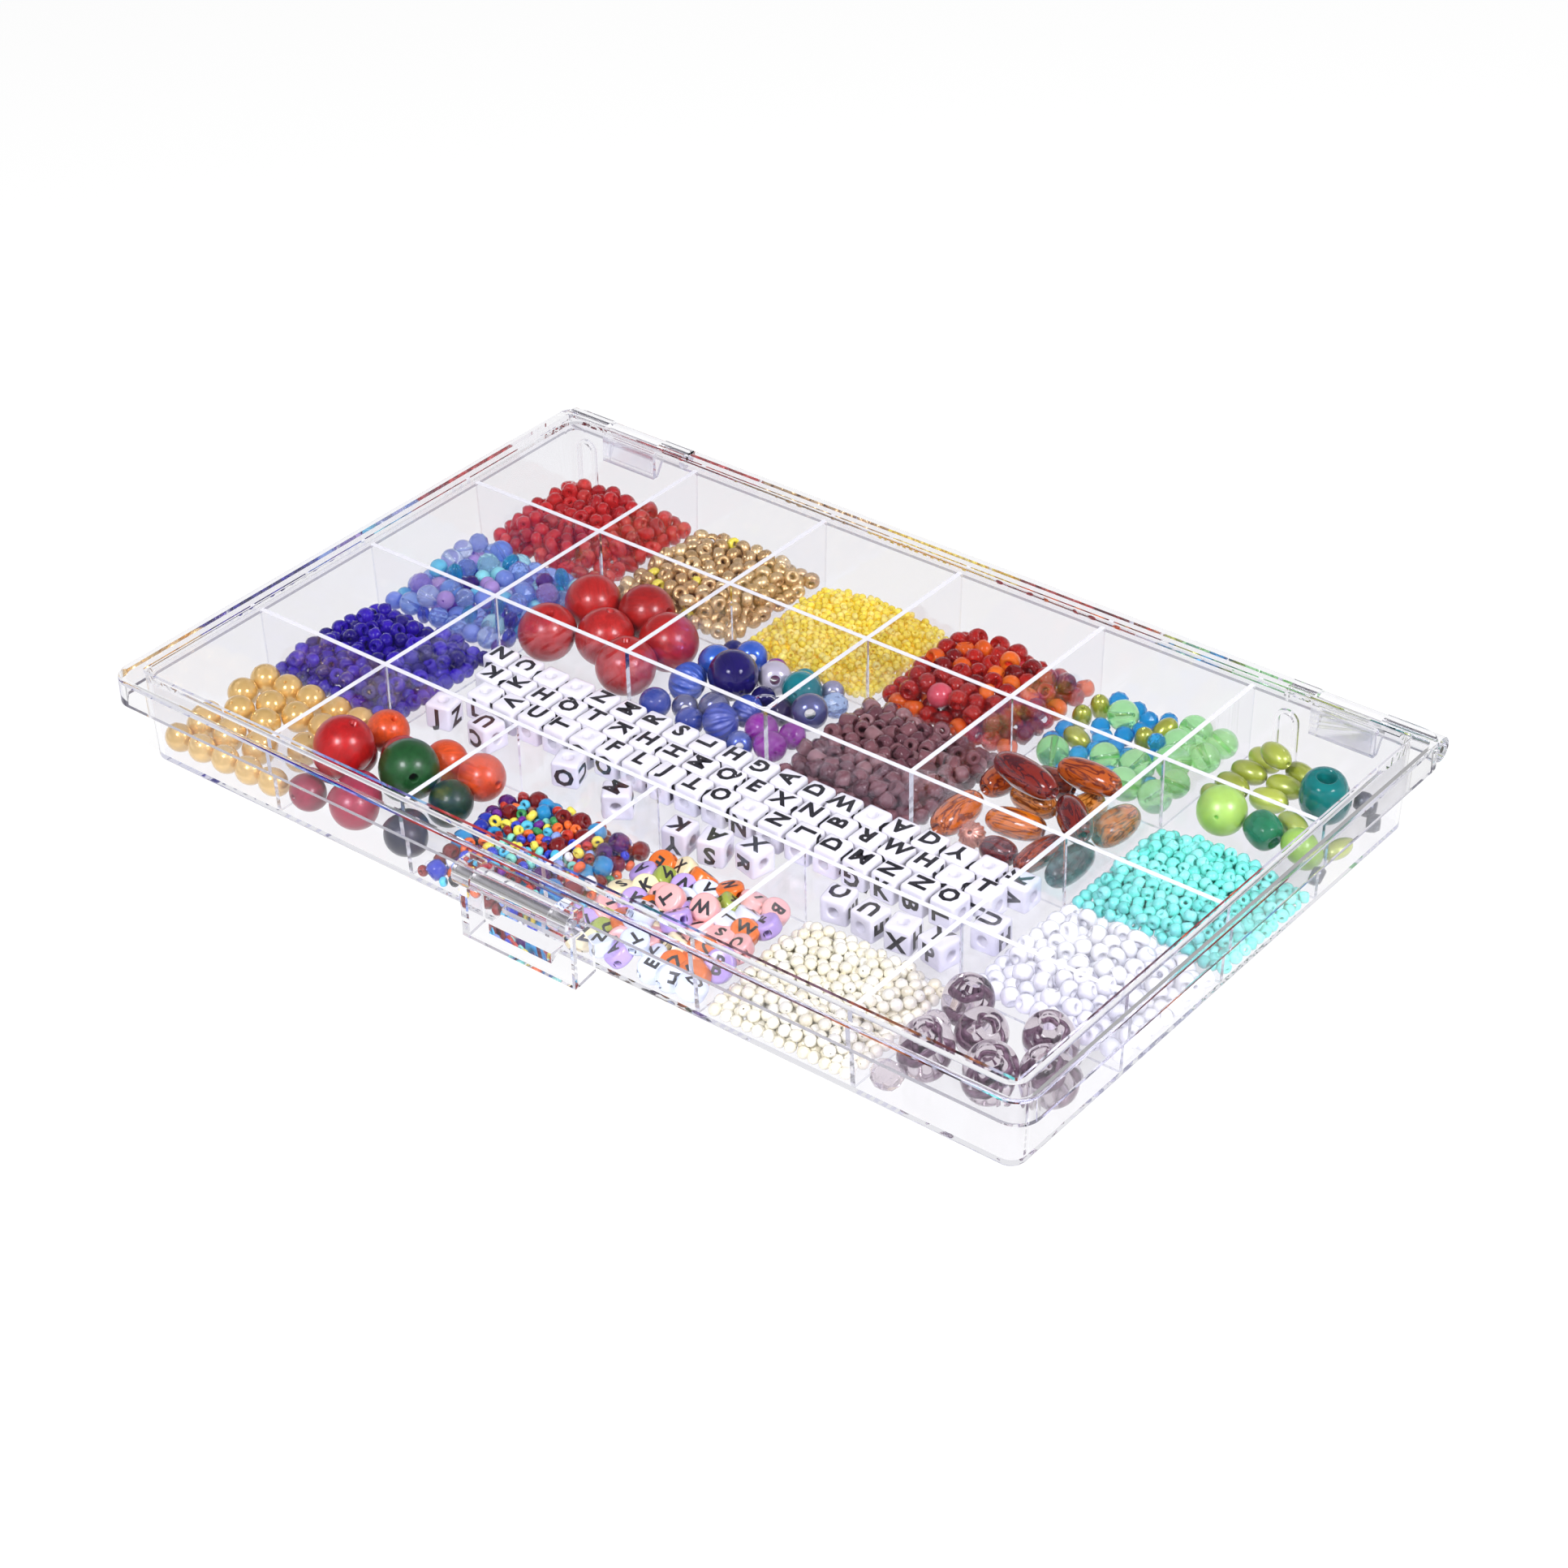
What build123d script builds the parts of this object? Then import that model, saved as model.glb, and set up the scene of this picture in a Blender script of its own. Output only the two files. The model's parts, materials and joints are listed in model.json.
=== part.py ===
"""Bead organizer: a shallow clear box with a divided tray, one hinged lid and a swing latch.

Sizes are millimetres. X runs along the front edge, Y to the back, Z up. The origin is the
centre of the tray's underside, where the box stands on a table.
"""
from build123d import *
from itertools import combinations
import math
import os
import random

# ---------------------------------------------------------------- driving dimensions
COLUMNS = 6
ROWS = 4
COLUMN_PITCH = 44.0
ROW_PITCH = 40.4
LONG_CELL_COLUMNS = (1, 4)      # first and last column of the long compartment
LONG_CELL_ROW = 1               # its row, counted from the front

DIVIDER = 1.3                   # thickness of a divider
DIVIDER_HEIGHT = 20.3           # above the floor
WALL = 1.6                      # thickness of the tray's outer wall
WALL_ABOVE_DIVIDERS = 0.7
FLOOR = 1.5
DRAFT = 2.6                     # degrees that the outer wall leans inwards to the floor
TRAY_CORNER = 5.0               # outer radius of the tray's upright corners
TRAY_FOOT_ROUND = 1.0           # round along the tray's bottom edge

LID_SEAT = 0.3                  # from the tray's rim to the lid's underside
LID_PLATE = 2.0
LID_SIDE_GAP = 3.0              # between the tray's wall and the lid's skirt
LID_SKIRT = 2.0                 # thickness of the skirt
LID_EDGE_HEIGHT = 7.2           # full height of the lid's edge
LID_CORNER = 6.0
LID_EDGE_ROUND = 0.6
PLATEAU_INSET = 6.0             # from the lid's outer edge to the raised middle
PLATEAU_RISE = 0.8
PLATEAU_CORNER = 0.8
GATE_MARK_RADIUS = 3.0          # moulding mark in the middle of the lid
GATE_MARK_LINE = 0.5
GATE_MARK_RISE = 0.25

PIN_RADIUS = 0.9
RUNNING_GAP = 0.05              # radial clearance round a steel pin
SIDE_CLEARANCE = 0.3            # between knuckles that turn past each other
KNUCKLE_RADIUS = 3.2
HINGE_SETBACK = 4.2             # from the tray's back wall to the hinge axis
HINGE_DROP = 4.0                # from the top of the lid's edge to the hinge axis
HINGE_CENTRE = 112.8            # of the fixed barrel, from the middle of the box
HINGE_BARREL = 18.0             # length of the fixed barrel
LID_KNUCKLE_INNER = 8.0         # length of the lid's knuckle towards the middle
LID_KNUCKLE_OUTER = 15.0        # length of the lid's knuckle towards the end
LEAF_PLATE = 1.6
LEAF_HEIGHT = 7.4               # from the hinge axis down to the leaf's lower edge
LEAF_RIB = 1.6                  # width of the rib at each end of the leaf
BACK_RIB = 0.8                  # arched rib on the tray's back wall, beside each hinge
BACK_RIB_WIDTH = 6.6
BACK_RIB_HEIGHT = 15.5
BACK_RIB_LINE = 1.1
BACK_RIB_BASE = 1.8             # from the underside of the tray

LATCH_SETBACK = 3.5             # from the lid's front to the latch pin
LATCH_DROP = 4.8                # from the top of the lid's edge to the latch pin
LATCH_BARREL = 23.2             # length of the turning barrel
LATCH_BARREL_RADIUS = 2.9
LATCH_WIDTH = 34.6              # of the flap, and over the lugs and the pin
LATCH_FOOT = 2.0                # from the table to the flap's lower edge
LATCH_PLATE = 1.8
LATCH_CHEEK = 1.6               # thickness of the flap's side cheeks
LATCH_CHEEK_REACH = 6.2         # from the pin towards the tray
LATCH_HOOK = 1.4                # height of the hook and of the catch it holds under
LATCH_HOOK_WIDTH = 19.0
LATCH_HOOK_DROP = 11.8          # from the pin to the top of the hook
LATCH_CATCH = 2.9               # how far the catch stands out from the tray's wall
LATCH_WINDOW_TOP = 2.6          # from the top of the lid's edge to the window behind the barrel

BEAD_GAP = 0.06                 # kept between neighbouring beads
HEAP_MARGIN = 1.5               # between a heap of small beads and the walls
HEAP_SLOPE = 62.0               # degrees from upright of a heap's upper faces
BEAD_SPACING = 1.04             # of the beads on a heap, in bead diameters
BEAD_SHOWING = 0.85             # of the beads on a heap, in bead radii
CUBE = 7.2                      # side of a lettered cube
CUBE_STEP = 7.6                 # from rank to rank of the cubes
CUBE_RANKS = 3
CUBES_ACROSS = 20
BEAD_SLACK = 0.45               # between the last rank of cubes and the divider

# ---------------------------------------------------------------- worked-out sizes
CELL_X = COLUMN_PITCH - DIVIDER
CELL_Y = ROW_PITCH - DIVIDER
INNER_X = COLUMNS * COLUMN_PITCH / 2 - DIVIDER / 2
INNER_Y = ROWS * ROW_PITCH / 2 - DIVIDER / 2
OUTER_X = INNER_X + WALL
OUTER_Y = INNER_Y + WALL
DIVIDER_TOP = FLOOR + DIVIDER_HEIGHT
RIM_TOP = DIVIDER_TOP + WALL_ABOVE_DIVIDERS
DRAFT_SLOPE = math.tan(math.radians(DRAFT))
DRAFT_LOSS = RIM_TOP * DRAFT_SLOPE

LID_UNDERSIDE = RIM_TOP + LID_SEAT
LID_EDGE_TOP = LID_UNDERSIDE + LID_PLATE
LID_TOP = LID_EDGE_TOP + PLATEAU_RISE
SKIRT_BOTTOM = LID_EDGE_TOP - LID_EDGE_HEIGHT
LID_X = OUTER_X + LID_SIDE_GAP + LID_SKIRT
LID_Y = OUTER_Y + LID_SIDE_GAP + LID_SKIRT

HINGE_Y = OUTER_Y + HINGE_SETBACK
HINGE_Z = LID_EDGE_TOP - HINGE_DROP
LATCH_Y = -LID_Y - LATCH_SETBACK
LATCH_Z = LID_EDGE_TOP - LATCH_DROP
LUG_START = LATCH_BARREL / 2 + SIDE_CLEARANCE
LUG_END = LATCH_WIDTH / 2
HEADROOM = LID_UNDERSIDE - FLOOR


# ---------------------------------------------------------------- helpers
def tray_block(half_x, half_y, corner, depth, mode=Mode.ADD):
    """A drafted block that hangs from the tray's rim: its faces lean inwards going down."""
    with BuildSketch(Plane.XY.offset(RIM_TOP), mode=Mode.PRIVATE) as rim:
        RectangleRounded(2 * half_x, 2 * half_y, corner)
    extrude(rim.sketch, amount=depth, dir=(0, 0, -1), taper=DRAFT, mode=mode)


def tray_cavity(mode):
    """The room inside the tray's outer wall, from the rim to the floor."""
    tray_block(INNER_X, INNER_Y, TRAY_CORNER - WALL, RIM_TOP - FLOOR, mode)


def bar_along_x(start, end, outline, mode=Mode.ADD):
    """A closed outline of (y, z) points, carried along X from start to end."""
    with BuildSketch(Plane.YZ.offset(start), mode=Mode.PRIVATE) as side:
        Polygon(*outline, align=None)
    extrude(side.sketch, amount=end - start, mode=mode)


def rod_along_x(start, end, y, z, radius, mode=Mode.ADD):
    """A round bar along X."""
    with BuildSketch(Plane.YZ.offset(start), mode=Mode.PRIVATE) as ring:
        with Locations((y, z)):
            Circle(radius)
    extrude(ring.sketch, amount=end - start, mode=mode)


def rod_along_z(x, y, low, high, radius, mode=Mode.ADD):
    """An upright round bar."""
    with BuildSketch(Plane.XY.offset(low), mode=Mode.PRIVATE) as ring:
        with Locations((x, y)):
            Circle(radius)
    extrude(ring.sketch, amount=high - low, mode=mode)


def rounded_block(half_x, half_y, corner, low, high, mode=Mode.ADD):
    """An upright block about the middle of the box, with rounded upright corners."""
    with BuildSketch(Plane.XY.offset(low), mode=Mode.PRIVATE) as base:
        RectangleRounded(2 * half_x, 2 * half_y, corner)
    extrude(base.sketch, amount=high - low, mode=mode)


def block(x, y, z, mode=Mode.ADD):
    """A box between the given (low, high) pairs."""
    with BuildSketch(Plane.XY.offset(z[0]), mode=Mode.PRIVATE) as base:
        with Locations(((x[0] + x[1]) / 2, (y[0] + y[1]) / 2)):
            Rectangle(x[1] - x[0], y[1] - y[0])
    extrude(base.sketch, amount=z[1] - z[0], mode=mode)


def keep(part, name):
    """Label a finished piece and write it."""
    part.label = name
    export_step(part, f"parts/{name}.step")


def column_line(index):
    """X of a line between columns, counted from the left wall."""
    return (index - COLUMNS / 2) * COLUMN_PITCH


def row_line(index):
    """Y of a line between rows, counted from the front wall."""
    return (index - ROWS / 2) * ROW_PITCH


def cell_centre(column, row, columns_wide=1):
    """Middle of a compartment, with columns from the left and rows from the front."""
    return (column_line(column + columns_wide / 2), row_line(row + 0.5))


# ---------------------------------------------------------------- tray
def back_rib(centre_x):
    """An arched rib on the outside of the back wall."""
    outside = BACK_RIB_WIDTH / 2
    top = BACK_RIB_BASE + BACK_RIB_HEIGHT - outside
    lean = (RIM_TOP - BACK_RIB_BASE) * DRAFT_SLOPE
    with BuildSketch(Plane.XZ.offset(-OUTER_Y - BACK_RIB), mode=Mode.PRIVATE) as arch:
        for half, mode in ((outside, Mode.ADD), (outside - BACK_RIB_LINE, Mode.SUBTRACT)):
            with Locations((centre_x, top)):
                Circle(half, mode=mode)
            with Locations((centre_x, (top + BACK_RIB_BASE) / 2)):
                Rectangle(2 * half, top - BACK_RIB_BASE, mode=mode)
    extrude(arch.sketch, amount=BACK_RIB + lean, dir=(0, -1, 0))


def base_tray():
    """Floor and outer wall, with the latch's catch in front and two ribs behind."""
    with BuildPart() as tray:
        tray_block(OUTER_X, OUTER_Y, TRAY_CORNER, RIM_TOP)
        fillet(tray.faces().sort_by(Axis.Z)[0].edges(), TRAY_FOOT_ROUND)
        for side in (-1, 1):
            back_rib(side * HINGE_CENTRE - HINGE_BARREL / 2 - BACK_RIB_WIDTH)
        top = LATCH_Z - LATCH_HOOK_DROP + SIDE_CLEARANCE
        wall = -OUTER_Y + DRAFT_LOSS
        tip = -OUTER_Y - LATCH_CATCH
        catch = [(wall, top), (tip, top), (tip, top + LATCH_HOOK), (wall, top + 2 * LATCH_HOOK)]
        bar_along_x(-LATCH_HOOK_WIDTH / 2, LATCH_HOOK_WIDTH / 2, catch)
        tray_cavity(Mode.SUBTRACT)
    return tray.part


def row_divider(index):
    """A divider from one end wall to the other."""
    y = row_line(index)
    with BuildPart() as plate:
        block((-OUTER_X, OUTER_X), (y - DIVIDER / 2, y + DIVIDER / 2), (FLOOR, DIVIDER_TOP))
        tray_cavity(Mode.INTERSECT)
    return plate.part


def column_dividers(row):
    """The short dividers of one row, each between two row dividers or a wall."""
    first, last = LONG_CELL_COLUMNS
    front = row_line(row) + (DIVIDER / 2 if row > 0 else -DIVIDER)
    back = row_line(row + 1) - (DIVIDER / 2 if row < ROWS - 1 else -DIVIDER)
    with BuildPart() as plates:
        for index in range(1, COLUMNS):
            if row == LONG_CELL_ROW and first < index <= last:
                continue
            x = column_line(index)
            block((x - DIVIDER / 2, x + DIVIDER / 2), (front, back), (FLOOR, DIVIDER_TOP))
        tray_cavity(Mode.INTERSECT)
    return plates.part


# ---------------------------------------------------------------- hinges
def hinge_spans(side):
    """X ranges of the leaf's barrel and of the lid's two knuckles, for the left or right hinge."""
    low = side * HINGE_CENTRE - HINGE_BARREL / 2
    high = low + HINGE_BARREL
    short, long = (LID_KNUCKLE_INNER, LID_KNUCKLE_OUTER)
    below, above = (short, long) if side > 0 else (long, short)
    knuckles = ((low - SIDE_CLEARANCE - below, low - SIDE_CLEARANCE),
                (high + SIDE_CLEARANCE, high + SIDE_CLEARANCE + above))
    return (low, high), knuckles


def hinge_leaf(side):
    """Fixed half of a hinge: a plate on the back wall that carries the middle barrel."""
    (low, high), _ = hinge_spans(side)
    foot = HINGE_Z - LEAF_HEIGHT
    face = OUTER_Y + LEAF_PLATE
    plate = [(OUTER_Y - DRAFT_LOSS, foot), (face, foot), (face, HINGE_Z), (OUTER_Y - DRAFT_LOSS, HINGE_Z)]
    rib = [(face, foot), (HINGE_Y, HINGE_Z - KNUCKLE_RADIUS), (HINGE_Y, HINGE_Z), (face, HINGE_Z)]
    with BuildPart() as leaf:
        bar_along_x(low, high, plate)
        rod_along_x(low, high, HINGE_Y, HINGE_Z, KNUCKLE_RADIUS)
        for start in (low, high - LEAF_RIB):
            bar_along_x(start, start + LEAF_RIB, rib)
        rod_along_x(low, high, HINGE_Y, HINGE_Z, PIN_RADIUS + RUNNING_GAP, Mode.SUBTRACT)
        tray_block(OUTER_X, OUTER_Y, TRAY_CORNER, RIM_TOP, Mode.SUBTRACT)
    return leaf.part


def hinge_pin(side):
    """Steel pin through the leaf's barrel and the lid's two knuckles."""
    _, knuckles = hinge_spans(side)
    with BuildPart() as pin:
        rod_along_x(knuckles[0][0], knuckles[1][1], HINGE_Y, HINGE_Z, PIN_RADIUS)
    return pin.part


# ---------------------------------------------------------------- lid
def lid_shell():
    """Plate, skirt and raised middle of the lid."""
    rounded_block(LID_X, LID_Y, LID_CORNER, SKIRT_BOTTOM, LID_EDGE_TOP)
    fillet(faces().sort_by(Axis.Z)[-1].edges(), LID_EDGE_ROUND)
    rounded_block(LID_X - LID_SKIRT, LID_Y - LID_SKIRT, LID_CORNER - LID_SKIRT,
                  SKIRT_BOTTOM, LID_UNDERSIDE, Mode.SUBTRACT)
    rounded_block(LID_X - PLATEAU_INSET, LID_Y - PLATEAU_INSET, PLATEAU_CORNER, LID_EDGE_TOP, LID_TOP)
    rod_along_z(0, 0, LID_TOP, LID_TOP + GATE_MARK_RISE, GATE_MARK_RADIUS)
    rod_along_z(0, 0, LID_TOP, LID_TOP + GATE_MARK_RISE, GATE_MARK_RADIUS - GATE_MARK_LINE, Mode.SUBTRACT)


def lid():
    """The one lid over all compartments, with its hinge knuckles and latch lugs."""
    seat = KNUCKLE_RADIUS + SIDE_CLEARANCE
    lug_z = (LATCH_Z - KNUCKLE_RADIUS, LATCH_Z + KNUCKLE_RADIUS)
    with BuildPart() as cover:
        lid_shell()
        for side in (-1, 1):
            barrel, knuckles = hinge_spans(side)
            cut = (barrel[0] - SIDE_CLEARANCE, barrel[1] + SIDE_CLEARANCE)
            block(cut, (HINGE_Y - seat, HINGE_Y + seat), (SKIRT_BOTTOM, LID_TOP), Mode.SUBTRACT)
            for start, end in knuckles:
                rod_along_x(start, end, HINGE_Y, HINGE_Z, KNUCKLE_RADIUS)
            start, end = knuckles[0][0], knuckles[1][1]
            rod_along_x(start, end, HINGE_Y, HINGE_Z, PIN_RADIUS + RUNNING_GAP, Mode.SUBTRACT)
        block((-LUG_START, LUG_START), (-LID_Y, -LID_Y + LID_SKIRT),
              (SKIRT_BOTTOM, LID_EDGE_TOP - LATCH_WINDOW_TOP), Mode.SUBTRACT)
        for side in (-1, 1):
            start, end = sorted((side * LUG_START, side * LUG_END))
            rod_along_x(start, end, LATCH_Y, LATCH_Z, KNUCKLE_RADIUS)
            block((start, end), (LATCH_Y, -LID_Y + LID_SKIRT / 2), lug_z)
        rod_along_x(-LUG_END, LUG_END, LATCH_Y, LATCH_Z, PIN_RADIUS + RUNNING_GAP, Mode.SUBTRACT)
    return cover.part


# ---------------------------------------------------------------- latch
def latch_flap():
    """Turning barrel, flap with side cheeks, and the hook on its inner face."""
    half = LATCH_WIDTH / 2
    barrel = LATCH_BARREL / 2
    shoulder = LATCH_Z - KNUCKLE_RADIUS - SIDE_CLEARANCE
    back = LATCH_Y + LATCH_PLATE / 2
    face = LATCH_Y - LATCH_PLATE / 2
    reach = LATCH_Y + LATCH_CHEEK_REACH
    hook_top = LATCH_Z - LATCH_HOOK_DROP
    hook_tip = -OUTER_Y - LATCH_CATCH - SIDE_CLEARANCE
    cheek = [(back, shoulder), (back + LATCH_PLATE, shoulder), (reach, shoulder - LATCH_CHEEK_REACH),
             (reach, LATCH_FOOT + LATCH_PLATE / 2), (back, LATCH_FOOT)]
    hook = [(back, hook_top), (hook_tip, hook_top), (back, hook_top - 2 * LATCH_HOOK)]
    with BuildPart() as flap:
        block((-half, half), (face, back), (LATCH_FOOT, shoulder))
        block((-barrel, barrel), (face, back), (shoulder, LATCH_Z))
        rod_along_x(-barrel, barrel, LATCH_Y, LATCH_Z, LATCH_BARREL_RADIUS)
        for start in (-half, half - LATCH_CHEEK):
            bar_along_x(start, start + LATCH_CHEEK, cheek)
        bar_along_x(-LATCH_HOOK_WIDTH / 2, LATCH_HOOK_WIDTH / 2, hook)
        rod_along_x(-barrel, barrel, LATCH_Y, LATCH_Z, PIN_RADIUS + RUNNING_GAP, Mode.SUBTRACT)
    return flap.part


def latch_pin():
    """Steel pin through the lid's lugs and the latch's barrel."""
    with BuildPart() as pin:
        rod_along_x(-LUG_END, LUG_END, LATCH_Y, LATCH_Z, PIN_RADIUS)
    return pin.part


# ---------------------------------------------------------------- beads
def settle(beads, half_x, half_y, turns=1500):
    """Let round beads sink and push each other apart, until none overlap.

    Each bead is a list [x, y, height of its centre above the floor, radius].
    """
    sinking = 0.7 * turns
    for turn in range(turns):
        for bead in beads:
            if turn < sinking:
                bead[2] -= 0.25
        for a, b in combinations(beads, 2):
            away = [b[axis] - a[axis] for axis in range(3)]
            distance = math.hypot(*away) or 1.0
            overlap = a[3] + b[3] + BEAD_GAP - distance
            if overlap > 0:
                for axis in range(3):
                    push = 0.5 * overlap * away[axis] / distance
                    a[axis] -= push
                    b[axis] += push
        for bead in beads:
            room_x = half_x - bead[3] - BEAD_GAP
            room_y = half_y - bead[3] - BEAD_GAP
            bead[0] = max(-room_x, min(room_x, bead[0]))
            bead[1] = max(-room_y, min(room_y, bead[1]))
            bead[2] = max(bead[3] + BEAD_GAP, min(HEADROOM - bead[3], bead[2]))
    return beads


def ball_fill(cell, beads):
    """Round beads in one compartment: (x, y, height, diameter) from the compartment's middle."""
    centre = cell_centre(*cell)
    starts = [[x, y, height, diameter / 2] for x, y, height, diameter in beads]
    half_x = CELL_X / 2 - RIM_TOP * DRAFT_SLOPE * (cell[0] in (0, COLUMNS - 1))
    half_y = CELL_Y / 2 - RIM_TOP * DRAFT_SLOPE * (cell[1] in (0, ROWS - 1))
    with BuildPart() as fill:
        for x, y, height, radius in settle(starts, half_x, half_y):
            with Locations((centre[0] + x, centre[1] + y, FLOOR + height)):
                Sphere(radius)
    return fill.part


def oval_bead(length, diameter):
    """An oval bead lying along X."""
    with BuildPart() as bead:
        with BuildSketch(Plane.XZ):
            Ellipse(length / 2, diameter / 2)
            Rectangle(length, diameter, align=(Align.CENTER, Align.MIN), mode=Mode.INTERSECT)
        revolve(axis=Axis.X)
    return bead.part


def placed_fill(cell, ovals, balls):
    """Beads set one by one: ovals (x, y, height, length, diameter, turn), balls (x, y, height, diameter)."""
    centre = cell_centre(*cell)
    with BuildPart() as fill:
        for x, y, height, length, diameter, turn in ovals:
            place = (centre[0] + x, centre[1] + y, FLOOR + height + BEAD_GAP)
            add(oval_bead(length, diameter).moved(Location(place, (0, 0, turn))))
        for x, y, height, diameter in balls:
            with Locations((centre[0] + x, centre[1] + y, FLOOR + height + BEAD_GAP)):
                Sphere(diameter / 2)
    return fill.part


def cube_fill(cell, seed):
    """Lettered cubes on the floor of the long compartment: three ranks at the back, strays in front."""
    pick = random.Random(seed)
    centre = cell_centre(*cell)
    half_x = (cell[2] * COLUMN_PITCH - DIVIDER) / 2
    height = FLOOR + CUBE / 2 + BEAD_GAP
    first = CUBE / 2 + 2 * BEAD_SLACK
    step = 2 * (half_x - first) / (CUBES_ACROSS - 0.5)
    with BuildPart() as fill:
        for rank in range(CUBE_RANKS):
            for i in range(CUBES_ACROSS - rank):
                x = centre[0] - half_x + first + (i + 0.5 * rank) * step
                y = centre[1] + CELL_Y / 2 - CUBE / 2 - BEAD_SLACK - rank * CUBE_STEP
                with Locations(Location((x, y, height), (0, 0, pick.uniform(-2, 2)))):
                    Box(CUBE, CUBE, CUBE)
        for x, y, turn in ((-80, -8.5, 12), (-65, -9.2, -8), (-38, -9, 20), (-20, -12, 35), (2, -14.5, 8),
                           (11.5, -13, 16), (21.5, -10.5, -14), (49, -13.5, 12), (58.5, -14, -6),
                           (67.5, -13.5, 9), (77, -13, -12), (82.5, -1.5, 4)):
            with Locations(Location((centre[0] + x, centre[1] + y, height), (0, 0, turn))):
                Box(CUBE, CUBE, CUBE)
    return fill.part


def heap_core(cell, edge, height, margin):
    """A heap from wall to wall: a layer as high as its edge, and a low mound on it."""
    centre = cell_centre(*cell)
    size_x = CELL_X - 2 * margin
    size_y = CELL_Y - 2 * margin
    corner = min(size_x, size_y) / 6
    with BuildPart() as mound:
        for low, high, slope in ((0, edge, 0), (edge, height, HEAP_SLOPE)):
            with BuildSketch(Plane.XY.offset(FLOOR + low)) as base:
                with Locations(centre):
                    RectangleRounded(size_x, size_y, corner)
            extrude(base.sketch, amount=high - low, taper=slope)
    return mound.part


def even_places(reach, bead):
    """Places of beads from -reach to reach, with a hair of room between them."""
    steps = int(2 * reach / (bead * BEAD_SPACING))
    return [reach * (2 * step / steps - 1) for step in range(steps + 1)]


def heap_fill(cell, edge, height, bead):
    """A heap of beads of one size, sunk in a core that stands for the beads below them."""
    radius = bead / 2
    margin = HEAP_MARGIN + radius
    centre = cell_centre(*cell)
    reach_x = CELL_X / 2 - margin
    reach_y = CELL_Y / 2 - margin
    rise = 1 / math.tan(math.radians(HEAP_SLOPE))
    places = []
    for x in even_places(reach_x, bead):
        for y in even_places(reach_y, bead):
            inset = min(reach_x - abs(x), reach_y - abs(y))
            is_corner = reach_x - abs(x) + reach_y - abs(y) < radius
            if not is_corner:
                top = min(height, edge + inset * rise)
                places.append((centre[0] + x, centre[1] + y, FLOOR + top - radius))
    sunk = radius * BEAD_SHOWING
    with BuildPart() as heap:
        add(heap_core(cell, edge - sunk, height - sunk, HEAP_MARGIN + sunk))
        with Locations(places):
            Sphere(radius)
    return heap.part


def write_heaps():
    """Heaps of small beads: (name, column, row, height at the edge, full height, bead)."""
    heaps = (("fill_coral_drops", 0, 3, 5.0, 9.5, 4.2),
             ("fill_bronze_rings", 1, 3, 4.5, 8.0, 4.4),
             ("fill_yellow_seeds", 2, 3, 3.0, 6.0, 0),
             ("fill_red_orange_ponies", 3, 3, 5.5, 10.0, 5.5),
             ("fill_green_turquoise_rounds", 4, 3, 6.0, 8.5, 5.4),
             ("fill_periwinkle_mix", 0, 2, 6.0, 9.5, 6.0),
             ("fill_amethyst_tubes", 3, 2, 5.0, 8.5, 4.8),
             ("fill_turquoise_seeds", 5, 2, 3.5, 7.0, 3.4),
             ("fill_indigo_seeds", 0, 1, 4.5, 9.5, 4.3),
             ("fill_white_seeds", 5, 1, 4.5, 7.0, 4.4),
             ("fill_rainbow_seeds", 2, 0, 4.0, 7.5, 3.8),
             ("fill_letter_discs", 3, 0, 5.5, 9.0, 5.4),
             ("fill_ivory_pearls", 4, 0, 3.7, 7.0, 3.5))
    for name, column, row, edge, height, bead in heaps:
        if bead:
            keep(heap_fill((column, row), edge, height, bead), name)
        else:
            keep(heap_core((column, row), edge, height, HEAP_MARGIN), name)


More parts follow.
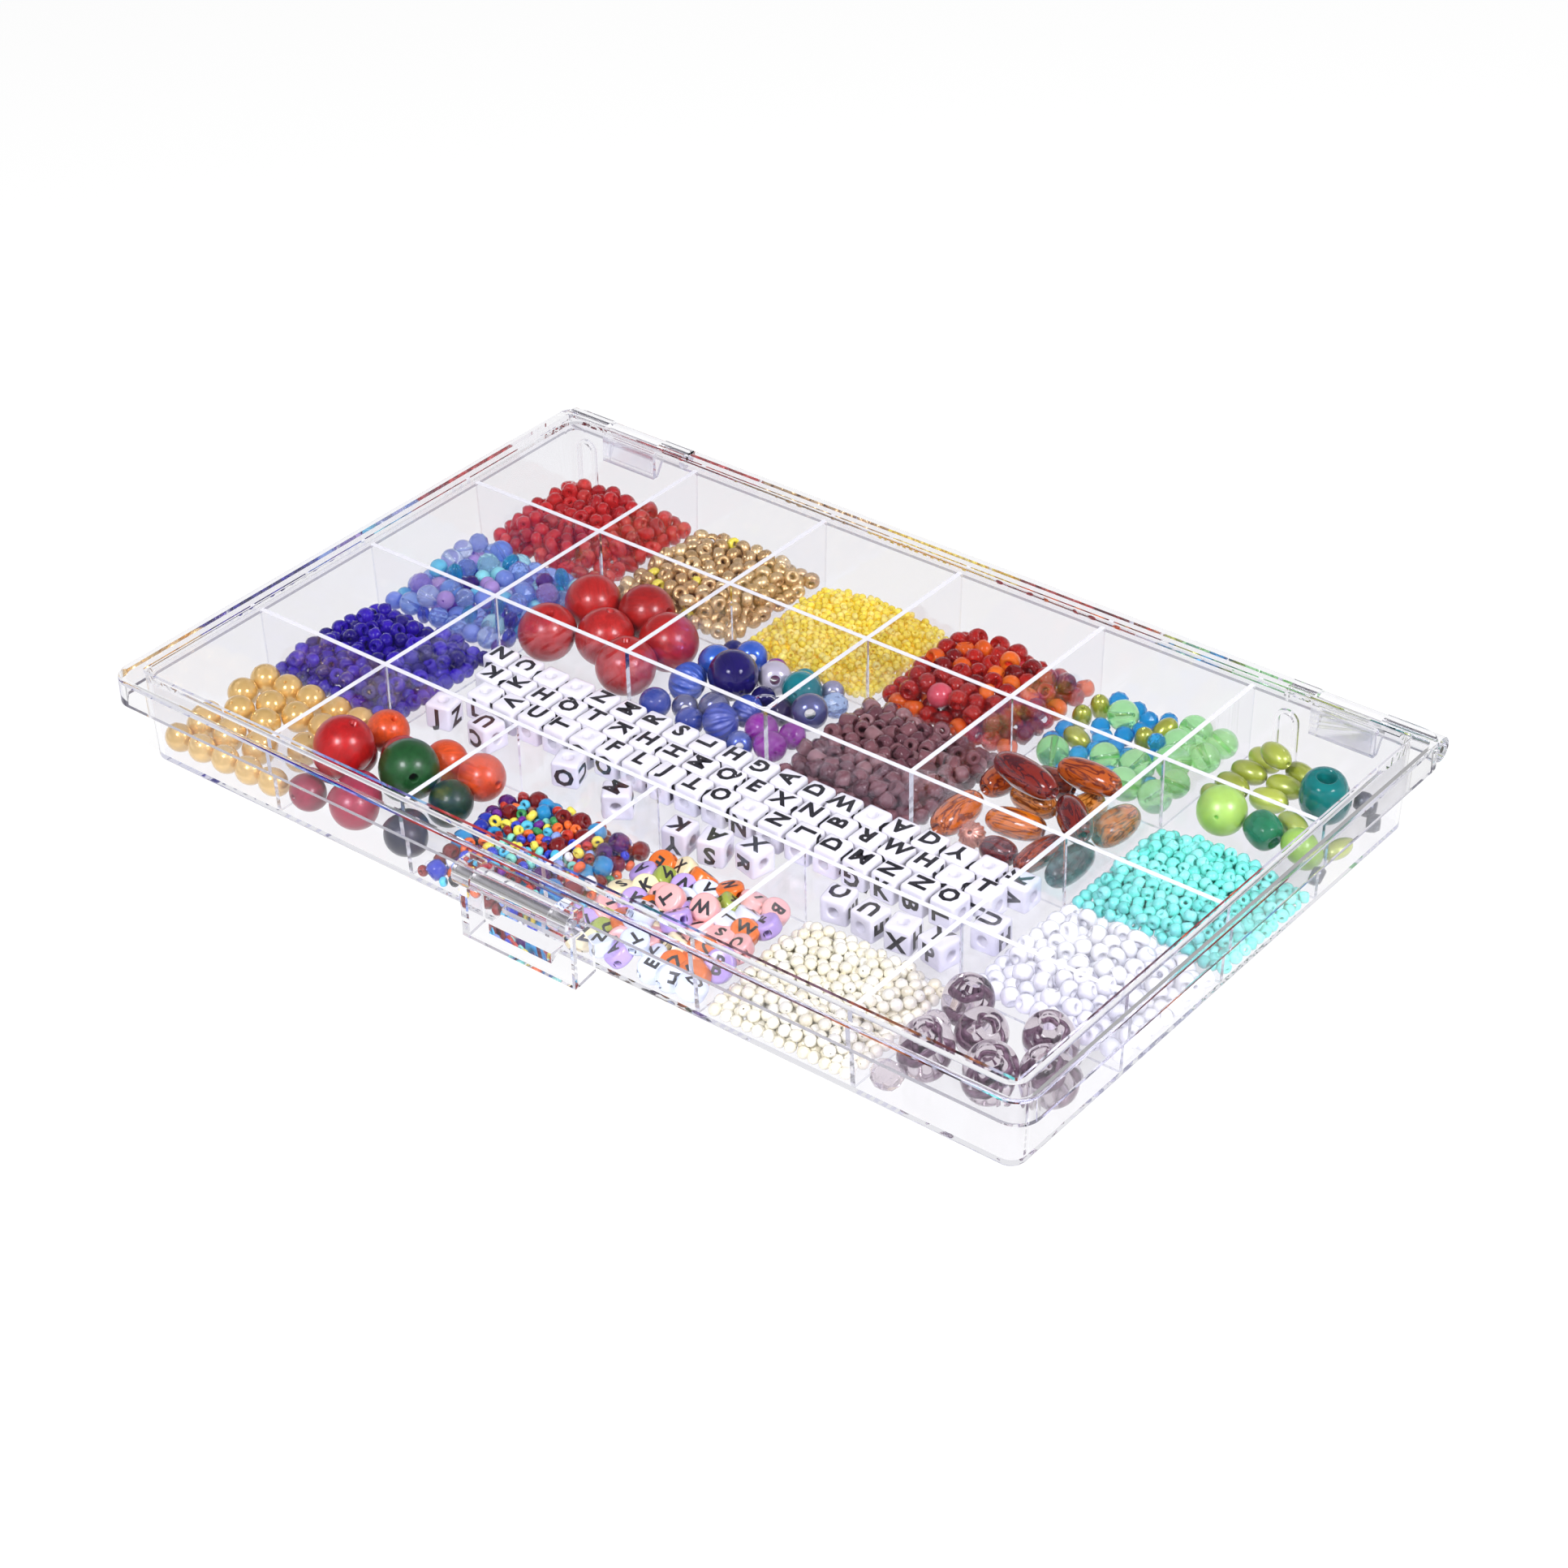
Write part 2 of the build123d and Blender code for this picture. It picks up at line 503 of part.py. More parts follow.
def write_balls():
    """Round beads: (x, y, height of the centre, diameter) from each compartment's middle."""
    red = ((-13.3, 7.6, 13.3, 15), (-2, -0.2, 13, 15), (1, 12, 7.5, 15),
           (13.4, 6, 9, 15), (12, -10, 7.5, 15), (-14, -9, 7.5, 15))
    keep(ball_fill((1, 2), red), "fill_red_wood_balls")
    painted = ((-13.8, -5.5, 13.4, 15), (-16, 14, 5.5, 11), (-11.5, 9.5, 12, 11), (4.4, 0, 13.4, 15),
               (1.5, 14, 5.5, 11), (15, 13.8, 6, 12), (15, 3, 5.5, 11), (-14.3, -15, 5, 10),
               (-1.2, -13, 6.5, 13), (15.5, -14, 5.5, 11), (-13, -2.5, 5, 10))
    keep(ball_fill((1, 0), painted), "fill_painted_wood_balls")
    pearl = 8.0
    back = [(step * (pearl + 0.3), 15.4) for step in (-2, -1, 0, 1, 2)]
    front = [(step * (pearl + 0.3), -14.4) for step in (-2, -1, 0, 1, 2)]
    middle = [(-16, 6.8), (-7, 7.2), (2, 7.4), (11, 7), (-15, -6.2), (-6, -6), (3, -5.6), (-11.5, 0.8),
              (-3, 0.4), (13.5, -2)]
    gold = [(x, y, pearl / 2, pearl) for x, y in back + front + middle]
    keep(ball_fill((0, 0), gold), "fill_gold_pearls")
    glass = ((-16.5, 7, 16, 9.7), (-17.7, 16.3, 8, 6), (-13.5, 9, 12, 5), (-10.6, 13, 9, 8.7),
             (-14, 4.7, 7, 13), (-6, 1.8, 11, 8.2), (-7, 14.8, 6, 5.8), (0, 14.6, 9, 9.1), (6, 13, 6, 9.8),
             (-1, 7, 9, 6.6), (-4.5, 3, 5, 8.2), (10, 14.5, 12, 6.2), (13.5, 16, 11, 7),
             (-16.2, -4, 6, 10.3), (-15.8, -13, 5, 8.2), (-9.5, -8, 4, 6.9), (9, -0.8, 4, 8.1),
             (16, 11, 6, 9.6), (2.3, -9, 5, 10), (16, -9.5, 4, 8), (-6, -14.5, 4, 7.5), (9, -14.5, 4, 7),
             (15, 0, 4, 7), (7, 6, 4, 7), (-3, 15, 3, 6.5))
    keep(ball_fill((2, 2), glass), "fill_blue_glass")
    lampwork = ((-15.2, 13.4, 6, 12), (-6, 5.6, 6, 12), (4.5, -1, 6, 12), (-13, -4.6, 6, 12),
                (8, 13.4, 6, 12), (14.2, 2, 6, 12), (-17, 4.5, 4, 7.5), (-15.5, -15, 4, 8))
    keep(ball_fill((5, 0), lampwork), "fill_lampwork_barrels")


def write_placed():
    """Ovals and the beads among them, each at a place of its own."""
    low, high = 4.5, 12.7
    wood = ((-16.3, -9, low, 16, 8.5, 88), (-16.2, 9.5, low, 14, 8, 84), (-2.6, -4.2, low, 15, 7.2, 12),
            (8.6, -10.5, low, 16, 6, 84), (16.4, -10, low, 16, 8, 90), (16, 9, low, 15, 8.5, 86),
            (-4.6, 5.8, low, 13, 7.4, -5), (-5.5, 15, low, 12, 7.5, 2), (6.8, 9.5, low, 14, 7.4, 84),
            (-5.6, 3.6, high, 20, 8, -12), (6, 13.4, high - 0.9, 17, 7.8, 2),
            (11.6, -1.5, high - 2.2, 15, 7.8, -42))
    tube = (0.2, -14.9, low - 0.5, 9.5, 7, 4)
    keep(placed_fill((4, 2), wood + (tube,), ((-8.6, -13.4, 4.0, 7.0),)), "fill_wood_grain_ovals")
    flat = 3.0
    olive = ((-15, 15.4, flat, 9.5, 6, -12), (-15.2, 8.6, flat, 9.5, 6, 4), (-4.4, 15.1, flat, 9.5, 6, -16),
             (-15.4, 1.6, flat, 9.5, 6, -10), (-5, 8.4, flat, 9.5, 6, 6), (-15.9, -4.8, flat, 9.5, 6, -22),
             (-5, 1.6, flat, 9.5, 6, 12), (5.2, -3.6, flat, 9.5, 6, -20), (16, -4, flat, 9, 5.4, 70),
             (-10, 12, 8.2, 9.5, 6, -20))
    others = ((-9.2, -12.6, 6.4, 12.4), (6.5, 7, 6.5, 12), (2.0, -11.8, 5, 9.0), (11.2, -11.4, 4.5, 8.2),
              (5.6, 16, 2.6, 5), (11.6, 15.6, 2.6, 5), (16.8, 10.6, 2.6, 5), (17.2, -15.2, 2.5, 4.8))
    keep(placed_fill((5, 3), olive, others), "fill_olive_pearls")
    first, last = LONG_CELL_COLUMNS
    keep(cube_fill((first, LONG_CELL_ROW, last - first + 1), 8), "fill_letter_cubes")


# ---------------------------------------------------------------- build
os.makedirs("parts", exist_ok=True)
keep(base_tray(), "base_tray")
for number, place in ((1, "front"), (2, "middle"), (3, "back")):
    keep(row_divider(number), f"row_divider_{place}")
for number in range(ROWS):
    keep(column_dividers(number), f"column_dividers_row_{number + 1}")
for direction, hand in ((-1, "left"), (1, "right")):
    keep(hinge_leaf(direction), f"hinge_leaf_{hand}")
    keep(hinge_pin(direction), f"hinge_pin_{hand}")
keep(lid(), "lid")
keep(latch_flap(), "latch_flap")
keep(latch_pin(), "latch_pin")
write_heaps()
write_balls()
write_placed()
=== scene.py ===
"""Looks of a clear bead organizer: the polystyrene box, its steel pins, and the beads in its compartments.

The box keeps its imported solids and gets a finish. Every fill of beads is made anew, bead by bead, in the
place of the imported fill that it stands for. Lengths are metres, written as millimetres times MM.
"""
import json
import math
import random

import bmesh
import bpy
import numpy as np
from mathutils import Matrix, Vector

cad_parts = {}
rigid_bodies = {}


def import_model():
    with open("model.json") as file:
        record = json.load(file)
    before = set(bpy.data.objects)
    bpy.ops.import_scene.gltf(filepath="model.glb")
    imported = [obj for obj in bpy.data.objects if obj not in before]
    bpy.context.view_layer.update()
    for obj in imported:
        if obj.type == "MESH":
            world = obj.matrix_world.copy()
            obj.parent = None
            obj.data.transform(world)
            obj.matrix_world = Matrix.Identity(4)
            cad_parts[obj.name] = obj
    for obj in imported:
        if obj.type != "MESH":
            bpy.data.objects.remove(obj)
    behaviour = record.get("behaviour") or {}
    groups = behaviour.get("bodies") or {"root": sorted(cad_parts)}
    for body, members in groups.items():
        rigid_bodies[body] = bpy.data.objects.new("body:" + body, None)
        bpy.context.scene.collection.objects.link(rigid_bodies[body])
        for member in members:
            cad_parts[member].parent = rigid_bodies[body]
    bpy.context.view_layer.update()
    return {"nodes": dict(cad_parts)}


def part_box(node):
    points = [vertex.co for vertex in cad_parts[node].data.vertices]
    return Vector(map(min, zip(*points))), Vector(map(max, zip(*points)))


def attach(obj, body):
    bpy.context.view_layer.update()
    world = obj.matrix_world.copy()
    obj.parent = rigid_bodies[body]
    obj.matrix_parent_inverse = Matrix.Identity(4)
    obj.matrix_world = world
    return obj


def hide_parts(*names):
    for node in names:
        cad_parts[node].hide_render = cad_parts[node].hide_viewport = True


bl_info = {
    "name": "Bead Organizer",
    "version": (1, 0, 0),
    "blender": (4, 5, 0),
    "location": "View3D > Sidebar > Beads",
    "description": "A clear divided box with a hinged lid, and the beads in it",
    "category": "Object",
}

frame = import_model()
MM = 0.001
TRAY = "tray"
FLOOR_TOP = 1.5 * MM                    # of the tray, where the beads lie
DIVIDER_TOP = 21.8 * MM
COLUMN_PITCH = 44.0 * MM                # from one compartment's middle to the next one's
ROW_PITCH = 40.4 * MM
HEAP_SLOPE = math.tan(math.radians(62))
HEAP_PACKING = 0.62                     # share of a heap's volume that is bead
MOST_TURNS = 12                         # of light inside the plastic, before it is let out
INK_DEPTH = 0.08 * MM
LETTER_THICKNESS = 0.04                 # of a letter one unit high, before it is printed
CLEAR_NODES = ["base_tray", "lid", "latch_flap", "hinge_leaf_left", "hinge_leaf_right"]
ROW_DIVIDERS = ["row_divider_front", "row_divider_middle", "row_divider_back"]
COLUMN_DIVIDERS = [f"column_dividers_row_{number}" for number in (1, 2, 3, 4)]
PIN_NODES = ["hinge_pin_left", "hinge_pin_right", "latch_pin"]


# ---------------------------------------------------------------- settings
class BoxSettings(bpy.types.PropertyGroup):
    """Finish of the box itself."""
    styrene: bpy.props.FloatVectorProperty(
        name="Polystyrene", description="Colour that each wall leaves of white light",
        subtype="COLOR", size=3, default=(0.975, 0.972, 0.99))
    polish: bpy.props.FloatProperty(
        name="Mould roughness", description="Roughness of the polished faces",
        default=0.02, min=0, max=1)


class BeadSettings(bpy.types.PropertyGroup):
    """Sizes of the beads that are made as heaps."""
    seed: bpy.props.FloatProperty(
        name="Small seed bead", description="Diameter of the smallest seed beads",
        default=2.2 * MM, min=1.5 * MM, unit="LENGTH")
    pearl_seed: bpy.props.FloatProperty(
        name="Ivory pearl", description="Diameter of the small ivory pearls",
        default=3.1 * MM, min=2 * MM, unit="LENGTH")
    ink: bpy.props.FloatVectorProperty(
        name="Letter ink", description="Colour of the printed letters", subtype="COLOR", size=3,
        default=(0.006, 0.006, 0.008))


class StageSettings(bpy.types.PropertyGroup):
    """Light and floor."""
    lamp_power: bpy.props.FloatProperty(
        name="Softbox power", description="Power of each of the two softboxes",
        default=12.5, min=0, unit="POWER")
    fill: bpy.props.FloatProperty(
        name="Room fill", description="Strength of the even light from all round",
        default=0.46, min=0)


# ---------------------------------------------------------------- small tools
def linear(code):
    """The linear colour of an sRGB hex value."""
    shares = [int(code[place:place + 2], 16) / 255 for place in (1, 3, 5)]
    return tuple(v / 12.92 if v <= 0.04045 else ((v + 0.055) / 1.055) ** 2.4 for v in shares) + (1.0,)


def add_node(tree, kind, inputs=(), **settings):
    """Add a node with its settings, and set or link its inputs."""
    node = tree.nodes.new(kind)
    for name, value in settings.items():
        setattr(node, name, value)
    for key, value in dict(inputs).items():
        if isinstance(value, bpy.types.NodeSocket):
            tree.links.new(value, node.inputs[key])
        else:
            node.inputs[key].default_value = value
    return node


def new_material(name):
    """An empty material and its node tree."""
    material = bpy.data.materials.new(name)
    material.use_nodes = True
    material.node_tree.nodes.clear()
    return material, material.node_tree


def finish_material(tree, surface):
    """Link a shader to the material's output."""
    add_node(tree, "ShaderNodeOutputMaterial", {"Surface": surface})


def let_light_through(tree, glass, tint, always=None, leak=None):
    """Mix a clear stand-in into glass for rays from lamps and for soft light, so both reach the beads.

    always is a node whose value is 1 where nothing of the glass shows. With a leak, light that stays
    caught in the plastic comes out after that many turns.
    """
    path = add_node(tree, "ShaderNodeLightPath")
    soft = add_node(tree, "ShaderNodeMath", {0: path.outputs["Is Shadow Ray"],
                                             1: path.outputs["Is Diffuse Ray"]},
                    operation="MAXIMUM")
    if always:
        soft = add_node(tree, "ShaderNodeMath", {0: soft.outputs[0], 1: always.outputs[0]},
                        operation="MAXIMUM")
    if leak:
        late = add_node(tree, "ShaderNodeMath", {0: path.outputs["Ray Depth"], 1: leak},
                        operation="GREATER_THAN")
        soft = add_node(tree, "ShaderNodeMath", {0: soft.outputs[0], 1: late.outputs[0]},
                        operation="MAXIMUM")
    through = add_node(tree, "ShaderNodeBsdfTransparent", {"Color": tint})
    mixed = add_node(tree, "ShaderNodeMixShader",
                     {"Fac": soft.outputs[0], 1: glass.outputs[0], 2: through.outputs[0]})
    return mixed.outputs[0]


def own_place(tree):
    """Coordinates on each bead's own axes, one unit for one bead, so that grain turns with the bead."""
    return add_node(tree, "ShaderNodeAttribute", attribute_name="own").outputs["Vector"]


def mark_own_place(mesh):
    """Store each vertex's place on the bead's own axes."""
    layer = mesh.attributes.new("own", "FLOAT_VECTOR", "POINT")
    places = np.zeros(3 * len(mesh.vertices))
    mesh.vertices.foreach_get("co", places)
    layer.data.foreach_set("vector", places)


def noise(tree, size, detail=3.0, roughness=0.5):
    """Noise on the object's own coordinates, with features of a real size in metres."""
    place = add_node(tree, "ShaderNodeTexCoord")
    return add_node(tree, "ShaderNodeTexNoise", {"Vector": place.outputs["Object"], "Scale": 1 / size,
                                                 "Detail": detail, "Roughness": roughness})


# ---------------------------------------------------------------- finishes of the box
def clear_styrene(box, name="clear_styrene", end_axis=None):
    """General-purpose polystyrene, moulded in polished steel: sharp reflections, and a violet toner that
    adds up where the eye looks through many walls, so edges read as pale violet lines.

    A divider is one moulding with the tray, so its foot and its ends, which have no surface on the real
    box, let the eye pass straight on. Its top edge lets less light through and turns partly white: partly
    a scuff from the lid, partly a painted highlight for the bright line that the edge catches.
    """
    material, tree = new_material(name)
    ripple = noise(tree, 9 * MM, 1.0)
    bump = add_node(tree, "ShaderNodeBump", {"Height": ripple.outputs["Fac"], "Strength": 0.02,
                                             "Distance": 0.05 * MM})
    glass = add_node(tree, "ShaderNodeBsdfPrincipled", {
        "Base Color": (*box.styrene, 1), "Roughness": box.polish, "IOR": 1.49,
        "Transmission Weight": 1.0, "Specular Tint": (0.45, 0.45, 0.48, 1), "Normal": bump.outputs[0]})
    joined = None
    if end_axis:
        skin = 0.05 * MM
        place = add_node(tree, "ShaderNodeTexCoord")
        parts = add_node(tree, "ShaderNodeSeparateXYZ", {"Vector": place.outputs["Normal"]})
        spot = add_node(tree, "ShaderNodeSeparateXYZ", {"Vector": place.outputs["Object"]})
        foot = add_node(tree, "ShaderNodeMath", {0: spot.outputs["Z"], 1: FLOOR_TOP + skin},
                        operation="LESS_THAN")
        along = add_node(tree, "ShaderNodeMath", {0: parts.outputs[end_axis]}, operation="ABSOLUTE")
        end = add_node(tree, "ShaderNodeMath", {0: along.outputs[0], 1: 0.9}, operation="GREATER_THAN")
        joined = add_node(tree, "ShaderNodeMath", {0: foot.outputs[0], 1: end.outputs[0]},
                          operation="MAXIMUM")
        # Painted highlight, partly a real scuff: near its top a divider turns half opaque white.
        worn = add_node(tree, "ShaderNodeMapRange", {"Value": spot.outputs["Z"],
                                                     "From Min": DIVIDER_TOP - 4 * skin,
                                                     "From Max": DIVIDER_TOP - skin, "To Min": 1.0,
                                                     "To Max": 0.45})
        tree.links.new(worn.outputs[0], glass.inputs["Transmission Weight"])
    finish_material(tree, let_light_through(tree, glass, linear("#f9f9fd"), joined, MOST_TURNS))
    return material


def brushed_steel():
    """Drawn stainless pin: fine lines along its length give a long soft highlight."""
    material, tree = new_material("drawn_steel")
    place = add_node(tree, "ShaderNodeTexCoord")
    along = add_node(tree, "ShaderNodeMapping", {"Vector": place.outputs["Object"],
                                                 "Scale": (60, 2500, 2500)})
    lines = add_node(tree, "ShaderNodeTexNoise", {"Vector": along.outputs[0], "Scale": 1.0, "Detail": 2.0})
    bump = add_node(tree, "ShaderNodeBump", {"Height": lines.outputs["Fac"], "Strength": 0.2,
                                             "Distance": 0.02 * MM})
    shade = add_node(tree, "ShaderNodeMapRange", {"Value": lines.outputs["Fac"], "To Min": 0.22,
                                                  "To Max": 0.38})
    metal = add_node(tree, "ShaderNodeBsdfPrincipled", {
        "Base Color": linear("#c9c8c6"), "Metallic": 1.0, "Roughness": shade.outputs[0],
        "Normal": bump.outputs[0]})
    finish_material(tree, metal.outputs[0])
    return material


# ---------------------------------------------------------------- finishes of the beads
def bead_tint(tree, spread=0.1, size=3 * MM):
    """Colour of each bead from its tint, mottled a little as glass and paint are."""
    tint = add_node(tree, "ShaderNodeAttribute", attribute_name="tint")
    mottle = noise(tree, size, 2.0)
    value = add_node(tree, "ShaderNodeMapRange", {"Value": mottle.outputs["Fac"], "From Min": 0.3,
                                                  "From Max": 0.7, "To Min": 1 - spread,
                                                  "To Max": 1 + spread})
    shade = add_node(tree, "ShaderNodeHueSaturation", {"Color": tint.outputs["Color"],
                                                       "Value": value.outputs[0]})
    return shade.outputs[0]


def opaque_glass():
    """Pressed opaque glass, fire polished: even colour under a hard wet gloss."""
    material, tree = new_material("opaque_pressed_glass")
    glaze = add_node(tree, "ShaderNodeBsdfPrincipled", {
        "Base Color": bead_tint(tree, 0.08), "Roughness": 0.14, "IOR": 1.52, "Coat Weight": 0.4,
        "Coat Roughness": 0.04})
    finish_material(tree, glaze.outputs[0])
    return material


def chalk_glass():
    """White alabaster glass: light spreads in it, so its shade stays pale."""
    material, tree = new_material("white_alabaster_glass")
    body = add_node(tree, "ShaderNodeBsdfPrincipled", {
        "Base Color": bead_tint(tree, 0.02), "Roughness": 0.14, "IOR": 1.5, "Transmission Weight": 0.12,
        "Coat Weight": 0.4, "Coat Roughness": 0.04})
    finish_material(tree, let_light_through(tree, body, linear("#e2e2e6")))
    return material


def tinted_glass(name, clarity, roughness=0.05):
    """Tinted see-through glass: light gathers in the body and leaves a bright far side."""
    material, tree = new_material(name)
    tint = bead_tint(tree, 0.12)
    body = add_node(tree, "ShaderNodeBsdfPrincipled", {
        "Base Color": tint, "Roughness": roughness, "IOR": 1.5, "Transmission Weight": clarity,
        "Coat Weight": 0.3, "Coat Roughness": 0.03})
    finish_material(tree, let_light_through(tree, body, tint))
    return material


def pearl_coat(name, depth=0.0, roughness=0.25):
    """Pearl essence lacquer on glass: a soft inner glow under a clear gloss, with the colour darkened
    towards the rim as painted shade.
    """
    material, tree = new_material(name)
    tint = bead_tint(tree, 0.05)
    # Painted shade: the colour turns darker and more saturated towards the rim, where the bead faces away.
    rim = add_node(tree, "ShaderNodeLayerWeight", {"Blend": 0.3})
    dark = add_node(tree, "ShaderNodeHueSaturation", {"Color": tint, "Saturation": 1.2, "Value": 0.78})
    colour = add_node(tree, "ShaderNodeMixRGB", {"Fac": rim.outputs["Facing"], "Color1": tint,
                                                 "Color2": dark.outputs[0]})
    lacquer = add_node(tree, "ShaderNodeBsdfPrincipled", {
        "Base Color": colour.outputs[0], "Metallic": depth, "Roughness": roughness, "Coat Weight": 1.0,
        "Coat Roughness": 0.05, "Coat IOR": 1.7})
    finish_material(tree, lacquer.outputs[0])
    return material


def bronze_lustre():
    """Bronze fired on glass: a metal skin, worn a little between warm and pale."""
    material, tree = new_material("fired_bronze_lustre")
    worn = noise(tree, 1.2 * MM, 3.0)
    rough = add_node(tree, "ShaderNodeMapRange", {"Value": worn.outputs["Fac"], "To Min": 0.18,
                                                  "To Max": 0.4})
    skin = add_node(tree, "ShaderNodeBsdfPrincipled", {
        "Base Color": bead_tint(tree, 0.15, 1.5 * MM), "Metallic": 0.55, "Roughness": rough.outputs[0],
        "Coat Weight": 0.3, "Coat Roughness": 0.1})
    finish_material(tree, skin.outputs[0])
    return material


def painted_wood():
    """Beech ball dipped in paint and varnish: faint grain under the gloss. The bore gets a finish of its
    own, bare wood darkened as painted shade.
    """
    material, tree = new_material("painted_beech")
    tint = add_node(tree, "ShaderNodeAttribute", attribute_name="tint")
    along = add_node(tree, "ShaderNodeMapping", {"Vector": own_place(tree), "Scale": (9.0, 9.0, 1.6)})
    bend = add_node(tree, "ShaderNodeVectorMath", {0: along.outputs[0], 1: tint.outputs["Vector"]},
                    operation="ADD")
    grain = add_node(tree, "ShaderNodeTexNoise", {"Vector": bend.outputs[0], "Scale": 1.0, "Detail": 5.0,
                                                  "Roughness": 0.65, "Distortion": 1.4})
    streak = add_node(tree, "ShaderNodeMapRange", {"Value": grain.outputs["Fac"], "From Min": 0.32,
                                                   "From Max": 0.66, "To Min": 0.62, "To Max": 1.08})
    paint = add_node(tree, "ShaderNodeHueSaturation", {"Color": tint.outputs["Color"],
                                                       "Value": streak.outputs[0]})
    bump = add_node(tree, "ShaderNodeBump", {"Height": grain.outputs["Fac"], "Strength": 0.3,
                                             "Distance": 0.15 * MM})
    varnish = add_node(tree, "ShaderNodeBsdfPrincipled", {
        "Base Color": paint.outputs[0], "Roughness": 0.34, "Specular IOR Level": 0.25,
        "Normal": bump.outputs[0], "Coat Weight": 0.5, "Coat Roughness": 0.14})
    finish_material(tree, varnish.outputs[0])
    return material


def dark_bore():
    """Inside of a drilled hole: rough bare wood, its colour darkened to a deep brown as painted shade."""
    material, tree = new_material("drilled_bore")
    fuzz = noise(tree, 0.6 * MM, 3.0)
    # Painted shade: these browns are much darker than bare beech, and stand for the shade inside the hole.
    tone = add_node(tree, "ShaderNodeMixRGB", {"Fac": fuzz.outputs["Fac"], "Color1": linear("#2a0f08"),
                                               "Color2": linear("#54281a")})
    wood = add_node(tree, "ShaderNodeBsdfPrincipled", {"Base Color": tone.outputs[0], "Roughness": 0.85})
    finish_material(tree, wood.outputs[0])
    return material


def swirled_resin():
    """Resin cast as mock wood: dark veins run along each bead through amber, under a deep varnish."""
    material, tree = new_material("swirled_wood_resin")
    tint = add_node(tree, "ShaderNodeAttribute", attribute_name="tint")
    along = add_node(tree, "ShaderNodeMapping", {"Vector": own_place(tree), "Scale": (1.3, 4.2, 4.2)})
    shifted = add_node(tree, "ShaderNodeVectorMath", {0: tint.outputs["Vector"], "Scale": 9.0},
                       operation="SCALE")
    start = add_node(tree, "ShaderNodeVectorMath", {0: along.outputs[0], 1: shifted.outputs[0]},
                     operation="ADD")
    bend = add_node(tree, "ShaderNodeTexNoise", {"Vector": start.outputs[0], "Scale": 1.0, "Detail": 3.0,
                                                 "Distortion": 1.6})
    bands = add_node(tree, "ShaderNodeMath", {0: bend.outputs["Fac"], 1: 8.0}, operation="MULTIPLY")
    ring = add_node(tree, "ShaderNodeMath", {0: bands.outputs[0], 1: 1.0}, operation="PINGPONG")
    ramp = add_node(tree, "ShaderNodeMapRange", {"Value": ring.outputs[0], "From Min": 0.02,
                                                 "From Max": 0.6},
                    interpolation_type="SMOOTHSTEP")
    dark = add_node(tree, "ShaderNodeHueSaturation", {"Color": tint.outputs["Color"], "Hue": 0.485,
                                                      "Saturation": 1.15, "Value": 0.28})
    colour = add_node(tree, "ShaderNodeMixRGB", {"Fac": ramp.outputs[0], "Color1": dark.outputs[0],
                                                 "Color2": tint.outputs["Color"]})
    varnish = add_node(tree, "ShaderNodeBsdfPrincipled", {
        "Base Color": colour.outputs[0], "Roughness": 0.12, "Coat Weight": 1.0, "Coat Roughness": 0.03,
        "Coat IOR": 1.5})
    finish_material(tree, varnish.outputs[0])
    return material


def foil_glass():
    """Dark glass with torn metal foil under its skin, which glints through the gloss."""
    material, tree = new_material("foil_lampwork_glass")
    tint = add_node(tree, "ShaderNodeAttribute", attribute_name="tint")
    flakes = noise(tree, 4.5 * MM, 2.5, 0.62)
    torn = add_node(tree, "ShaderNodeMapRange", {"Value": flakes.outputs["Fac"], "From Min": 0.49,
                                                 "From Max": 0.52})
    hue = noise(tree, 7 * MM, 0.0)
    foil = add_node(tree, "ShaderNodeMixRGB", {"Fac": hue.outputs["Fac"], "Color1": linear("#d8b650"),
                                               "Color2": linear("#35b6c9")})
    colour = add_node(tree, "ShaderNodeMixRGB", {"Fac": torn.outputs[0], "Color1": tint.outputs["Color"],
                                                 "Color2": foil.outputs[0]})
    metal = add_node(tree, "ShaderNodeMath", {0: torn.outputs[0], 1: 0.75}, operation="MULTIPLY")
    glass = add_node(tree, "ShaderNodeBsdfPrincipled", {
        "Base Color": colour.outputs[0], "Metallic": metal.outputs[0], "Roughness": 0.2, "Coat Weight": 1.0,
        "Coat Roughness": 0.02, "Coat IOR": 1.52})
    finish_material(tree, glass.outputs[0])
    return material


def flint_glass():
    """Clear lampwork glass over a purple core: bright rims, and only a grey cast of its own."""
    material, tree = new_material("clear_lampwork_glass")
    swirl = noise(tree, 4 * MM, 2.0)
    bump = add_node(tree, "ShaderNodeBump", {"Height": swirl.outputs["Fac"], "Strength": 0.3,
                                             "Distance": 0.15 * MM})
    glass = add_node(tree, "ShaderNodeBsdfPrincipled", {
        "Base Color": linear("#e2d8de"), "Roughness": 0.02, "IOR": 1.5, "Transmission Weight": 1.0,
        "Normal": bump.outputs[0]})
    finish_material(tree, let_light_through(tree, glass, linear("#ece6ea")))
    return material


def amethyst_threads():
    """Purple-brown glass threads wound round the bore, seen through the clear glass over them."""
    material, tree = new_material("amethyst_glass_threads")
    streaks = noise(tree, 1.5 * MM, 3.0, 0.6)
    tone = add_node(tree, "ShaderNodeMapRange", {"Value": streaks.outputs["Fac"], "From Min": 0.35,
                                                 "From Max": 0.65})
    colour = add_node(tree, "ShaderNodeMixRGB", {"Fac": tone.outputs[0], "Color1": linear("#4a3241"),
                                                 "Color2": linear("#8d7483")})
    threads = add_node(tree, "ShaderNodeBsdfPrincipled", {
        "Base Color": colour.outputs[0], "Roughness": 0.25, "Coat Weight": 0.5, "Coat Roughness": 0.05})
    finish_material(tree, threads.outputs[0])
    return material


